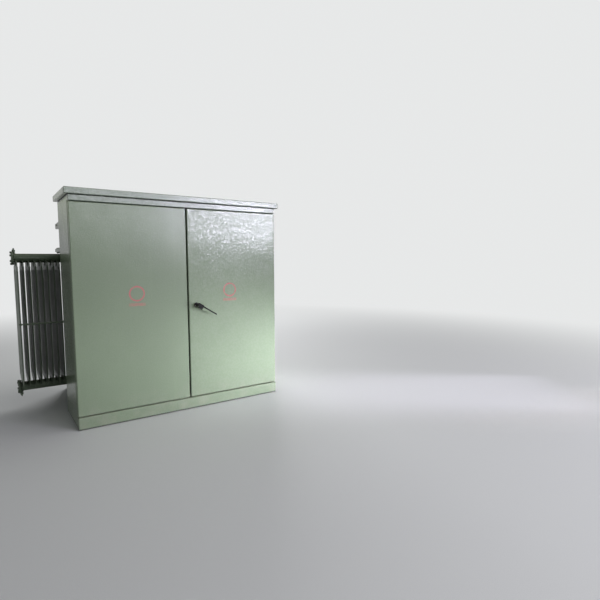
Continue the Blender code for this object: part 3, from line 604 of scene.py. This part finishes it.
def lid_fasteners():
    """Bolts through the lid and the flange: heads on the lid behind the hood, nuts under the flange."""
    low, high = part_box("tank_lid")
    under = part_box("tank_body")[1].z - TANK_FLANGE_DROP
    hood_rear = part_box("hood_end_left")[1].y
    rear = high.y - LID_BOLT_INSET
    heads = Piece("lid_bolts", GREEN, slot="green_paint")
    nuts = Piece("lid_nuts", GREEN, slot="green_paint")
    for x in (low.x + LID_BOLT_INSET, high.x - LID_BOLT_INSET):
        for y in spaced(low.y + LID_BOLT_FRONT_INSET, rear, LID_BOLT_SIDE_PITCH):
            nut_and_tip(nuts, turned_to(x, y, under, (0, 0, -1)), LID_BOLT_SIZE, DICE.random())
            if y > hood_rear - LID_BOLT_HOOD_OVERLAP:
                hex_bolt(heads, turned_to(x, y, high.z, (0, 0, 1)), LID_BOLT_SIZE, DICE.random())
    for x in spaced(low.x + LID_BOLT_INSET, high.x - LID_BOLT_INSET, LID_BOLT_REAR_PITCH)[1:-1]:
        nut_and_tip(nuts, turned_to(x, rear, under, (0, 0, -1)), LID_BOLT_SIZE, DICE.random())
        hex_bolt(heads, turned_to(x, rear, high.z, (0, 0, 1)), LID_BOLT_SIZE, DICE.random())
    heads.done()
    nuts.done()


def step_up(value, width):
    """A soft step of value from 0 at 0 to 1 at width."""
    share = min(1.0, max(0.0, value / width))
    return share * share * (3 - 2 * share)


def plate_top(y, reach, half_width):
    """How far a plate's outline is above its middle at y, with its headers reach above and below."""
    across = abs(y)
    saddle = reach - SHOULDER_DROP
    if across < HEADER_RADIUS:
        return min(saddle, reach - math.sqrt(HEADER_RADIUS ** 2 - across ** 2) - PLATE_RIM)
    if across <= PLATE_SADDLE_HALF:
        return saddle
    corner = saddle - SHOULDER_SLOPE
    arc_start = half_width - SHOULDER_RADIUS
    if across <= arc_start:
        return saddle - SHOULDER_SLOPE * (across - PLATE_SADDLE_HALF) / (arc_start - PLATE_SADDLE_HALF)
    return corner - SHOULDER_RADIUS + math.sqrt(max(0.0, SHOULDER_RADIUS ** 2 - (across - arc_start) ** 2))


def plate_rise(y, z, flute_end, half_width):
    """How far a plate's sheet stands out: its flutes, the channel that joins their ends, and the neck."""
    pitch = (2 * half_width - FLUTE_GAP) / FLUTE_COUNT
    half_flute = (pitch - FLUTE_GAP) / 2
    nearest = round(y / pitch)
    nearest = max(-(FLUTE_COUNT // 2), min(FLUTE_COUNT // 2, nearest))
    up = abs(z)
    flute = step_up(half_flute - abs(y - nearest * pitch), 0.011) * step_up(flute_end - up, 0.030)
    reach_in = step_up(up - flute_end + 0.032, 0.018)
    channel = reach_in * step_up(flute_end + 0.022 - up, 0.013) * step_up(half_width - 0.020 - abs(y), 0.016)
    neck = reach_in * step_up(0.036 - abs(y), 0.012)
    return FLUTE_RISE * max(flute, channel, neck)


def plate_columns(half_width):
    """Where the columns of a plate's grid stand across it."""
    pitch = (2 * half_width - FLUTE_GAP) / FLUTE_COUNT
    half_flute = (pitch - FLUTE_GAP) / 2
    columns = {half_width, half_width - 0.003, half_width - 0.009, half_width - 0.015, PLATE_SADDLE_HALF}
    columns |= {HEADER_RADIUS, 0.0385, 0.036, 0.030, 0.024, 0.012}
    for number in range(FLUTE_COUNT // 2 + 1):
        for share in (-1.0, -0.87, -0.74, -0.61, 0.0, 0.61, 0.74, 0.87, 1.0):
            place = number * pitch + share * half_flute
            if place >= 0:
                columns.add(place)
    merged = []
    for place in sorted(columns):
        if not merged or place - merged[-1] > 0.001:
            merged.append(place)
    return [-place for place in reversed(merged) if place > 0] + merged


def plate_rows(flute_end, half_width, reach):
    """Where the rows of a plate's grid stand up it, apart from the outline's own row at each end."""
    lowest_corner = plate_top(half_width, reach, half_width)
    upper = [0.0, 0.5 * flute_end]
    place = flute_end - 0.048
    while place < lowest_corner - 0.001:
        upper.append(place)
        place += 0.0065
    return [-place for place in reversed(upper[1:])] + upper


def fine_plate(name, node):
    """A radiator plate of two pressed sheets, seam-welded round their rim, in place of a CAD plate."""
    low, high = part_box(node)
    top_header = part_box(node.rsplit("_plate_", 1)[0] + "_top_header")
    bottom_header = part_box(node.rsplit("_plate_", 1)[0] + "_bottom_header")
    reach = (top_header[0].z + END_FLANGE_RADIUS - bottom_header[1].z + END_FLANGE_RADIUS) / 2
    centre = (low + high) / 2
    half_width = (high.y - low.y) / 2
    flute_end = reach - FLUTE_END_MARGIN
    columns = plate_columns(half_width)
    rows = plate_rows(flute_end, half_width, reach)
    piece = Piece(name, DULL_GREEN, slot="green_paint")
    sheets = []
    for side in (-1, 1):
        sheet = []
        for y in columns:
            top = plate_top(y, reach, half_width)
            column = []
            for z in (-top, *rows, top):
                out = PLATE_RIM + plate_rise(y, z, flute_end, half_width)
                column.append(piece.mesh.verts.new(centre + Vector((side * out, y, z))))
            sheet.append(column)
        sheets.append(sheet)
        for left, right in zip(sheet, sheet[1:]):
            for below in range(len(left) - 1):
                piece.mesh.faces.new((left[below], right[below], right[below + 1], left[below + 1]))
    back, front = sheets
    rim = [column[0] for column in back] + back[-1][1:] + [column[-1] for column in reversed(back[:-1])]
    rim += list(reversed(back[0][1:-1]))
    mate = [column[0] for column in front] + front[-1][1:] + [column[-1] for column in reversed(front[:-1])]
    mate += list(reversed(front[0][1:-1]))
    piece.skin(rim, mate)
    thing = piece.done(sharp_deg=50.0)
    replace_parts(thing, node)
    return centre, reach


def fine_header(name, node, upward):
    """A header pipe with its valve, flanges, bolts, welds and plug, in place of a CAD header."""
    low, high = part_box(node)
    outward = -1 if low.x < 0 else 1
    wall = high.x if outward < 0 else low.x
    length = high.x - low.x
    y = (low.y + high.y) / 2
    z = low.z + END_FLANGE_RADIUS if upward > 0 else high.z - END_FLANGE_RADIUS
    place = turned_to(wall, y, z, (outward, 0, 0))
    valve_end = VALVE_BODY_END + FLANGE_THICKNESS
    collar = length - FLANGE_THICKNESS
    chamfer = 0.001
    bead = 0.006
    pipe = HEADER_RADIUS
    profile = [(0, 0)]
    for start, end, radius in (
        (0, FLANGE_THICKNESS, VALVE_FLANGE_RADIUS),
        (FLANGE_THICKNESS, VALVE_BODY_END, VALVE_BODY_RADIUS),
        (VALVE_BODY_END, valve_end, VALVE_FLANGE_RADIUS),
    ):
        profile += [(radius - chamfer, start), (radius, start + chamfer)]
        profile += [(radius, end - chamfer), (radius - chamfer, end)]
    profile += [(pipe + bead, valve_end), (pipe + 0.8 * bead, valve_end + 0.5 * bead)]
    profile += [(pipe, valve_end + bead)]
    profile += [(pipe, collar - bead), (pipe + 0.8 * bead, collar - 0.5 * bead), (pipe + bead, collar)]
    radius = END_FLANGE_RADIUS
    profile += [(radius - chamfer, collar), (radius, collar + chamfer), (radius, length - chamfer)]
    profile += [(radius - chamfer, length), (0, length)]
    piece = Piece(name, DULL_GREEN, slot="green_paint")
    piece.lathe(profile, place, steps=FINE_STEPS)
    for number in range(END_BOLTS):
        angle = math.tau * (number + 0.5) / END_BOLTS
        offset = Vector((0, END_BOLT_CIRCLE * math.cos(angle), END_BOLT_CIRCLE * math.sin(angle)))
        at_end = Vector((wall + outward * length, y, z)) + offset
        hex_bolt(piece, turned_to(*at_end, (outward, 0, 0)), END_BOLT_SIZE, DICE.random())
        at_back = Vector((wall + outward * collar, y, z)) + offset
        nut_and_tip(piece, turned_to(*at_back, (-outward, 0, 0)), END_NUT_SIZE, DICE.random())
    rod_length = VALVE_BODY_END - FLANGE_THICKNESS
    for number in range(VALVE_BOLTS):
        angle = math.tau * (number + 0.5) / VALVE_BOLTS
        offset = Vector((0, VALVE_BOLT_CIRCLE * math.cos(angle), VALVE_BOLT_CIRCLE * math.sin(angle)))
        at_valve = Vector((wall + outward * valve_end, y, z)) + offset
        hex_bolt(piece, turned_to(*at_valve, (outward, 0, 0)), VALVE_BOLT_SIZE, DICE.random())
        rod = place @ Matrix.Translation((0, 0, FLANGE_THICKNESS))
        rod_profile = ((0, 0), (VALVE_ROD_RADIUS, 0), (VALVE_ROD_RADIUS, rod_length), (0, rod_length))
        piece.lathe(rod_profile, Matrix.Translation(offset) @ rod, steps=12)
    middle = (FLANGE_THICKNESS + VALVE_BODY_END) / 2
    spindle = turned_to(wall + outward * middle, y, z + VALVE_BODY_RADIUS - SPINDLE_SEAT, (0, 0, 1))
    stem = ((0, 0), (0.008, 0), (0.008, 0.008), (0.0055, 0.010), (0.0055, 0.020), (0.004, 0.021), (0, 0.021))
    piece.lathe(stem, spindle)
    plug = turned_to(wall + outward * (length - PLUG_FROM_END), y, z, (0, 0, upward))
    boss = ((0, 0.030), (0.014, 0.030), (0.014, 0.046), (0.010, 0.049), (0.010, 0.058), (0, 0.058))
    hexagon = ((0, 0.058), (0.0125, 0.058), (0.0125, 0.073), (0.0115, 0.075), (0, 0.075))
    tip = ((0, 0.075), (0.006, 0.075), (0.006, PLUG_TOP - 0.002), (0.004, PLUG_TOP), (0, PLUG_TOP))
    piece.lathe(boss, plug)
    piece.lathe(hexagon, plug, steps=HEX_SIDES)
    piece.lathe(tip, plug)
    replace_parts(piece.done(), node)


def radiator_bank(side):
    """The finer plates and headers of one bank, the welds between them, and the clips on the bar."""
    welds = Piece(f"{side}_radiator_welds", DULL_GREEN, slot="green_paint")
    clips = Piece(f"{side}_tie_rod_clips", DULL_GREEN, slot="green_paint")
    rod_low, rod_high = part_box(f"radiator_{side}_tie_rod")
    for number in range(1, PLATE_COUNT + 1):
        node = f"radiator_{side}_plate_{number}"
        centre, reach = fine_plate(f"{side}_plate_{number}", node)
        for end in (-1, 1):
            arc = []
            first_deg = -205 if end > 0 else -25
            for step in range(SADDLE_WELD_STEPS + 1):
                angle = math.radians(first_deg + 230 * step / SADDLE_WELD_STEPS)
                offset = Vector((0, math.cos(angle), math.sin(angle))) * (HEADER_RADIUS + 0.001)
                arc.append(Vector((centre.x, centre.y, centre.z + end * reach)) + offset)
            welds.tube(arc[2:-2], 0.0042, steps=8, ripple=0.14)
        middle_z = (rod_low.z + rod_high.z) / 2
        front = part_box(node)[0].y
        clip_front = front - 2 * TIE_ROD_RADIUS - CLIP_FRONT
        clips.box(
            (centre.x - CLIP_HALF_WIDTH, clip_front, middle_z - CLIP_HALF_HEIGHT),
            (centre.x + CLIP_HALF_WIDTH, front + CLIP_DEPTH, middle_z + CLIP_HALF_HEIGHT),
            bevel=0.002,
        )
    welds.done()
    clips.done()
    fine_header(f"{side}_top_header", f"radiator_{side}_top_header", 1)
    fine_header(f"{side}_bottom_header", f"radiator_{side}_bottom_header", -1)


def tank_welds():
    """Beads along the stiffeners, round the tank's foot, and where the hood's pieces stand on the lid."""
    beads = Piece("weld_beads", GREEN, slot="green_paint")
    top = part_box("tank_body")[1].z
    lid_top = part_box("tank_lid")[1].z
    half, rear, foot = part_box("base_frame")[1]
    under = top - TANK_FLANGE_DROP
    for place in STIFFENER_PLACES:
        for edge in (-STIFFENER_HALF, STIFFENER_HALF):
            x = place + edge
            weld(beads, (x, rear, foot + STIFFENER_FOOT), (x, rear, top - STIFFENER_HEAD))
    weld(beads, (-half + WELD_CORNER, rear, foot), (half - WELD_CORNER, rear, foot))
    for x in (-half, half):
        weld(beads, (x, SIDE_WELD_FRONT, foot), (x, rear - WELD_CORNER, foot))
        weld(beads, (x, SIDE_WELD_FRONT, under), (x, rear - WELD_CORNER, under))
    weld(beads, (-half + WELD_CORNER, rear, under), (half - WELD_CORNER, rear, under))
    box_low, box_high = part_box("hood_box")
    weld(beads, (box_low.x, box_high.y, lid_top), (box_high.x, box_high.y, lid_top))
    for name, inside in (("hood_end_left", 1), ("hood_end_right", -1)):
        end_low, end_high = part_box(name)
        plate_x = end_high.x if inside > 0 else end_low.x
        start = (plate_x, end_low.y + HOOD_WELD_FRONT, lid_top)
        weld(beads, start, (plate_x, end_high.y - HOOD_WELD_REAR, lid_top))
    beads.done()


def door_seal(name, node, body):
    """A foam strip, rounded on top, on the lip round the inside of a door."""
    low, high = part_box(node)
    edge = DOOR_LIP / 2
    centre = (low + high) / 2
    back = centre_of_skin(node) + DOOR_DEPTH - SHEET
    half_x = (high.x - low.x) / 2 - edge
    bottom = DOOR_BOTTOM + edge
    top = DOOR_TOP - edge
    piece = Piece(name, SEAL, body=body)
    section = ((-0.5, 0.0), (-0.5, 0.6), (-0.36, 0.9), (0.0, 1.0), (0.36, 0.9), (0.5, 0.6), (0.5, 0.0))
    rings = []
    for across, out in section:
        wide = half_x + across * SEAL_WIDTH
        over = across * SEAL_WIDTH
        y = back + out * SEAL_THICKNESS
        corners = (
            (centre.x - wide, y, bottom - over),
            (centre.x + wide, y, bottom - over),
            (centre.x + wide, y, top + over),
            (centre.x - wide, y, top + over),
        )
        rings.append([piece.mesh.verts.new(corner) for corner in corners])
    for one, two in zip(rings, [*rings[1:], rings[0]]):
        piece.skin(one, two)
    piece.done(sharp_deg=50.0)


def centre_of_skin(node):
    """The inner face of a door's skin."""
    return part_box(node)[0].y + SHEET


def lock_case():
    """The cover over the handle's cam inside the right door, with the bars that it drives and guides."""
    low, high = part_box("handle_plate")
    x = (low.x + high.x) / 2
    z = (low.z + high.z) / 2
    skin = centre_of_skin("door_right")
    case = Piece("lock_case", ZINC, body="right_door")
    half_x = 0.036
    half_z = 0.060
    depth = 0.024
    wall = 0.002
    soft = 0.0006
    tab_half_x = 0.026
    tab_half_z = 0.008
    screw_x = 0.018
    screw_size = 0.005
    back = skin + depth + wall / 2
    cover_low = (x - half_x, skin + depth, z - half_z)
    case.box(cover_low, (x + half_x, skin + depth + wall, z + half_z), bevel=0.0009)
    for side in (-1, 1):
        edge = x + side * (half_x - wall / 2)
        case.box((edge - wall / 2, skin, z - half_z), (edge + wall / 2, back, z + half_z), bevel=soft)
        end = z + side * (half_z - wall / 2)
        case.box((x - half_x, skin, end - wall / 2), (x + half_x, back, end + wall / 2), bevel=soft)
        tab = z + side * (half_z + tab_half_z)
        tab_low = (x - tab_half_x, skin, tab - tab_half_z)
        case.box(tab_low, (x + tab_half_x, skin + wall, tab + tab_half_z), bevel=soft)
        for across in (-screw_x, screw_x):
            hex_bolt(case, turned_to(x + across, skin + wall, tab, (0, 1, 0)), screw_size, DICE.random())
    case.done()

    bars = Piece("lock_bars", ZINC, body="right_door")
    bar_y = skin + 0.013
    bar_radius = 0.005
    end_gap = 0.014
    guide_outer = 0.020
    guide_inner = 0.0065
    guide_half = 0.010
    strap_outer = 0.0195
    strap_half = 0.0095
    for start, end in ((z + half_z, DOOR_TOP - end_gap), (z - half_z, DOOR_BOTTOM + end_gap)):
        bars.tube([(x, bar_y, start), (x, bar_y, (start + end) / 2), (x, bar_y, end)], bar_radius, steps=16)
        for share in (0.35, 0.86):
            height = start + (end - start) * share
            lower = height - guide_half
            upper = height + guide_half
            bars.box((x - guide_outer, skin, lower), (x - guide_inner, bar_y + 0.007, upper), bevel=0.001)
            bars.box((x + guide_inner, skin, lower), (x + guide_outer, bar_y + 0.007, upper), bevel=0.001)
            strap_low = (x - strap_outer, bar_y + 0.006, height - strap_half)
            strap_high = (x + strap_outer, bar_y + 0.009, height + strap_half)
            bars.box(strap_low, strap_high, bevel=0.001)
    bars.done()


def earth_bars():
    """A flat copper bar low on the tank's front in each compartment, on stand-offs, with bolts along it."""
    tank_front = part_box("cabinet_wall_left")[1].y
    height = 0.230
    half_height = 0.020
    bar_near = tank_front - 0.032
    bar_far = tank_front - 0.026
    end_inset = 0.030
    bolt_pitch = 0.085
    bolt_size = 0.010
    stand_off = ((0, 0), (0.011, 0), (0.011, 0.0255), (0, 0.0255))
    for name, low_x, high_x in (("earth_bar_left", -0.700, -0.060), ("earth_bar_right", 0.080, 0.700)):
        bar = Piece(name, COPPER)
        bar.box((low_x, bar_near, height - half_height), (high_x, bar_far, height + half_height), bevel=0.001)
        bar.done()
        fittings = Piece(f"{name}_fittings", ZINC)
        for x in (low_x + end_inset, high_x - end_inset):
            fittings.lathe(stand_off, turned_to(x, tank_front, height, (0, -1, 0)))
        for x in spaced(low_x + end_inset, high_x - end_inset, bolt_pitch):
            hex_bolt(fittings, turned_to(x, bar_near, height, (0, -1, 0)), bolt_size, DICE.random())
        fittings.done()


def bushing_clamps():
    """The ring that holds each bushing to the tank, with its nuts."""
    rings = Piece("bushing_clamps", ZINC)
    for nodes, count, bolts in (("hv_bushing", 3, 6), ("lv_bushing", 4, 4)):
        for number in range(1, count + 1):
            low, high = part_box(f"{nodes}_{number}")
            x = (low.x + high.x) / 2
            z = (low.z + high.z) / 2
            radius = (high.x - low.x) / 2
            inner = radius + CLAMP_GAP
            outer = radius + CLAMP_REACH
            corner = (outer, CLAMP_THICKNESS - CLAMP_CHAMFER)
            bevel = (outer - CLAMP_CHAMFER, CLAMP_THICKNESS)
            profile = ((inner, 0), (outer, 0), corner, bevel, (inner, CLAMP_THICKNESS))
            rings.lathe(profile, turned_to(x, high.y, z, (0, -1, 0)), steps=FINE_STEPS, looped=True)
            for step in range(bolts):
                angle = math.tau * (step + 0.5) / bolts
                reach = (inner + outer) / 2
                spot = (x + reach * math.cos(angle), high.y - CLAMP_THICKNESS, z + reach * math.sin(angle))
                nut_and_tip(rings, turned_to(*spot, (0, -1, 0)), CLAMP_NUT_SIZE, DICE.random())
    rings.done()


def handle_details():
    """Two screws in the handle's plate and a round cap over the end of its shaft."""
    low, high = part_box("handle_plate")
    x = (low.x + high.x) / 2
    z = (low.z + high.z) / 2
    screw_circle = 0.0155
    first_angle = 0.6
    screw = ((0, 0), (0.0034, 0), (0.0032, 0.0010), (0.0020, 0.0018), (0, 0.0020))
    screws = Piece("handle_plate_screws", ZINC, body="right_door")
    for angle in (first_angle, first_angle + math.pi):
        spot = (x + screw_circle * math.cos(angle), low.y, z + screw_circle * math.sin(angle))
        screws.lathe(screw, turned_to(*spot, (0, -1, 0)))
    screws.done()
    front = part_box("door_handle")[0].y
    cap = Piece("handle_cap", BLACK, body="handle")
    spot = turned_to(x + 0.006, front, z - 0.004, (0, -1, 0))
    side = ((0, -0.001), (0.0115, -0.001), (0.0115, 0.0012), (0.0105, 0.0022))
    cap.lathe((*side, (0.006, 0.0030), (0, 0.0031)), spot)
    cap.done()


def hood_screws():
    """Dome-headed screws that hold the hood's roof, along its rear and side edges."""
    low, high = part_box("hood_roof")
    screws = Piece("hood_screws", ZINC, slot="green_paint")
    height = low.z + 0.024
    side_rise = 0.008
    rear_inset = 0.060
    rear_pitch = 0.260
    side_places = (low.y + 0.100, high.y - 0.090)
    dome = ((0, 0), (0.0085, 0), (0.0080, 0.0022), (0.0055, 0.0042), (0.0025, 0.0050), (0, 0.0051))
    for x in spaced(low.x + rear_inset, high.x - rear_inset, rear_pitch):
        screws.lathe(dome, turned_to(x, high.y, height, (0, 1, 0)))
    for x, out in ((low.x, -1), (high.x, 1)):
        for y in side_places:
            screws.lathe(dome, turned_to(x, y, height + side_rise, (out, 0, 0)))
    screws.done()


def make_camera():
    """The photograph's own camera."""
    yaw = math.radians(CAMERA_YAW_DEG)
    pitch = math.radians(CAMERA_PITCH_DEG)
    roll = math.radians(CAMERA_ROLL_DEG)
    forward = Vector((math.sin(yaw) * math.cos(pitch), math.cos(yaw) * math.cos(pitch), -math.sin(pitch)))
    level = Vector((math.cos(yaw), -math.sin(yaw), 0))
    down = forward.cross(level)
    right = level * math.cos(roll) + down * math.sin(roll)
    below = down * math.cos(roll) - level * math.sin(roll)
    data = bpy.data.cameras.new("camera")
    data.lens = CAMERA_LENS_MM
    data.sensor_width = CAMERA_SENSOR_MM
    data.sensor_fit = "HORIZONTAL"
    camera = bpy.data.objects.new("camera", data)
    bpy.context.scene.collection.objects.link(camera)
    turn = Matrix((right, -below, -forward)).transposed().to_4x4()
    camera.matrix_world = Matrix.Translation(CAMERA_PLACE) @ turn
    bpy.context.scene.camera = camera


def soft_box(name, place, aim, width, height, power, colour, spread_deg=180.0, mirrored=True):
    """A rectangular lamp at a place, facing a point. Glossy surfaces mirror it unless told not to."""
    data = bpy.data.lights.new(name, "AREA")
    data.shape = "RECTANGLE"
    data.size = width
    data.size_y = height
    data.energy = power
    data.color = colour
    data.spread = math.radians(spread_deg)
    lamp = bpy.data.objects.new(name, data)
    lamp.visible_camera = False
    lamp.visible_glossy = mirrored
    bpy.context.scene.collection.objects.link(lamp)
    facing = Vector(aim) - Vector(place)
    lamp.matrix_world = Matrix.Translation(place) @ facing.to_track_quat("-Z", "Y").to_matrix().to_4x4()


def make_lamps():
    """Panes of daylight that the doors mirror, two lamps that nothing mirrors, and soft light around."""
    for column in range(PANE_COLUMNS):
        x = PANE_LEFT + column * PANE_PITCH
        rise = step_up(column - PANE_DIMMED_COLUMNS, PANE_BRIGHTENING_COLUMNS)
        share = PANE_LEAST_SHARE + (1 - PANE_LEAST_SHARE) * rise
        for row, power in enumerate(PANE_POWERS):
            z = PANE_BOTTOM + row * PANE_RISE
            name = f"pane_{column}_{row}"
            soft_box(name, (x, PANE_Y, z), (x, 0, z), PANE_WIDTH, PANE_HEIGHT, share * power, DAYLIGHT)
    soft_box("left_band", (BAND_X, PANE_Y, BAND_Z), (BAND_X, 0, BAND_Z), 3.0, 1.0, 34.0, DAYLIGHT)
    soft_box(
        "low_right",
        place=(3.6, -2.9, 0.25),
        aim=(0.95, -0.97, 0.33),
        width=1.2,
        height=0.4,
        power=14.8,
        colour=(0.86, 0.82, 1.0),
        spread_deg=28.0,
        mirrored=False,
    )
    soft_box(
        "high_left",
        place=(-3.6, 0.9, 3.5),
        aim=(-0.92, -0.45, 2.12),
        width=1.0,
        height=0.6,
        power=3.2,
        colour=(1.0, 0.90, 0.90),
        spread_deg=12.0,
        mirrored=False,
    )
    soft_box("front", (-0.2, -7.5, 3.6), (-0.1, -0.9, 0.9), 3.0, 2.0, 41.0, (0.98, 1.0, 0.95))
    soft_box("overhead", (1.6, -1.6, 6.2), (0.0, -0.2, 0.9), 5.0, 4.0, 100.0, (1.0, 0.99, 0.97))
    soft_box("rear", (3.4, 6.5, 4.6), (0.0, 0.3, 0.9), 4.0, 3.0, 340.0, (0.98, 0.99, 1.0))


def seen_share(tree):
    """1 for what the camera sees straight or through glass, and a part of it for what it sees mirrored."""
    path = tree.nodes.new("ShaderNodeLightPath")
    mirrored = tree.nodes.new("ShaderNodeMath")
    mirrored.operation = "MULTIPLY"
    tree.links.new(path.outputs["Is Glossy Ray"], mirrored.inputs[0])
    mirrored.inputs[1].default_value = MIRRORED_SHARE
    share = mirrored.outputs[0]
    for ray in ("Is Camera Ray", "Is Transmission Ray"):
        larger = tree.nodes.new("ShaderNodeMath")
        larger.operation = "MAXIMUM"
        tree.links.new(share, larger.inputs[0])
        tree.links.new(path.outputs[ray], larger.inputs[1])
        share = larger.outputs[0]
    return share


def make_stage():
    """A pale floor that fades into an even backdrop, and a dim world light."""
    shape = bmesh.new()
    bmesh.ops.create_grid(shape, x_segments=4, y_segments=4, size=FLOOR_HALF)
    data = bpy.data.meshes.new("floor")
    shape.to_mesh(data)
    shape.free()
    floor = bpy.data.objects.new("floor", data)
    floor.location = (0, 0, -FLOOR_DROP)
    bpy.context.scene.collection.objects.link(floor)

    look = Look("floor_look")
    reach = look.node("ShaderNodeVectorMath", {0: look.place}, output="Value", operation="LENGTH")
    far = look.smooth(reach, FLOOR_FADE_NEAR, FLOOR_FADE_FAR)
    share = look.maths("MULTIPLY", far, seen_share(look.tree))
    speckle = look.noise(240.0, detail=2.0)
    tone = look.mix(look.smooth(speckle, 0.3, 0.7), *FLOOR_TONES)
    look.set(Base_Color=tone, Roughness=0.62)
    glow = look.node("ShaderNodeEmission", {"Color": (*BACKDROP, 1.0), "Strength": 1.0})
    blend = look.node("ShaderNodeMixShader", {0: share, 1: look.shader.outputs[0], 2: glow})
    look.feed(look.tree.nodes["Material Output"].inputs["Surface"], blend)
    data.materials.append(look.material)

    world = bpy.data.worlds.new("world")
    bpy.context.scene.world = world
    world.use_nodes = True
    tree = world.node_tree
    base = tree.nodes["Background"]
    base.inputs["Color"].default_value = (*AMBIENT, 1.0)
    base.inputs["Strength"].default_value = AMBIENT_STRENGTH
    backdrop = tree.nodes.new("ShaderNodeBackground")
    backdrop.inputs["Color"].default_value = (*BACKDROP, 1.0)
    choice = tree.nodes.new("ShaderNodeMixShader")
    tree.links.new(seen_share(tree), choice.inputs[0])
    tree.links.new(base.outputs[0], choice.inputs[1])
    tree.links.new(backdrop.outputs[0], choice.inputs[2])
    tree.links.new(choice.outputs[0], tree.nodes["World Output"].inputs["Surface"])


make_camera()
make_stage()
make_lamps()
bpy.context.scene.view_settings.view_transform = "Standard"

GREEN = gloss_paint("green_enamel", GREEN_PAINT)
LEFT_DOOR_GREEN = gloss_paint("left_door_enamel", GREEN_PAINT, mark_x=LEFT_MARK_X, grain=LEFT_DOOR_GRAINS)
RIGHT_DOOR_GREEN = gloss_paint("right_door_enamel", GREEN_PAINT, mark_x=RIGHT_MARK_X, grain=RIGHT_DOOR_GRAINS)
# The radiators' darker green is partly painted shade.
DULL_GREEN = gloss_paint("radiator_enamel", DULL_RADIATOR_GREEN_WITH_SHADE, roughness=0.46, coat=0.45)
GREY_GREEN = gloss_paint("grey_green_enamel", GREY_GREEN_PAINT, roughness=0.30)
BLACK = plastic("black_moulding", PLASTIC_BLACK, 0.46)
RESIN = cast_resin("red_brown_resin", RESIN_BROWN)
PORCELAIN = glaze("brown_glaze", GLAZE_BROWN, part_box("lv_bushing_1")[0].y + TERMINAL_LENGTH)
ZINC = metal("zinc_plate", ZINC_GREY, 0.34)
COPPER = metal("copper_bar", COPPER_RED, 0.36)
SEAL = rubber("black_seal", RUBBER_BLACK)

FINISHES = {
    "green_paint": GREEN,
    "grey_green_paint": GREY_GREEN,
    "black_plastic": BLACK,
    "resin": RESIN,
    "porcelain": PORCELAIN,
}
SLOT_OF = {row["node"]: row["material_slot"] for row in frame["record"]["subparts"]}
for node_name, thing in NODES.items():
    finish = FINISHES[SLOT_OF[node_name]]
    if node_name == "door_left":
        finish = LEFT_DOOR_GREEN
    if node_name == "door_right":
        finish = RIGHT_DOOR_GREEN
    if node_name.startswith("radiator_"):
        finish = DULL_GREEN
    for slot in thing.material_slots:
        slot.material = finish

lid_fasteners()
tank_welds()
hood_screws()
radiator_bank("left")
radiator_bank("right")
handle_details()
door_seal("left_door_seal", "door_left", "left_door")
door_seal("right_door_seal", "door_right", "right_door")
lock_case()
earth_bars()
bushing_clamps()
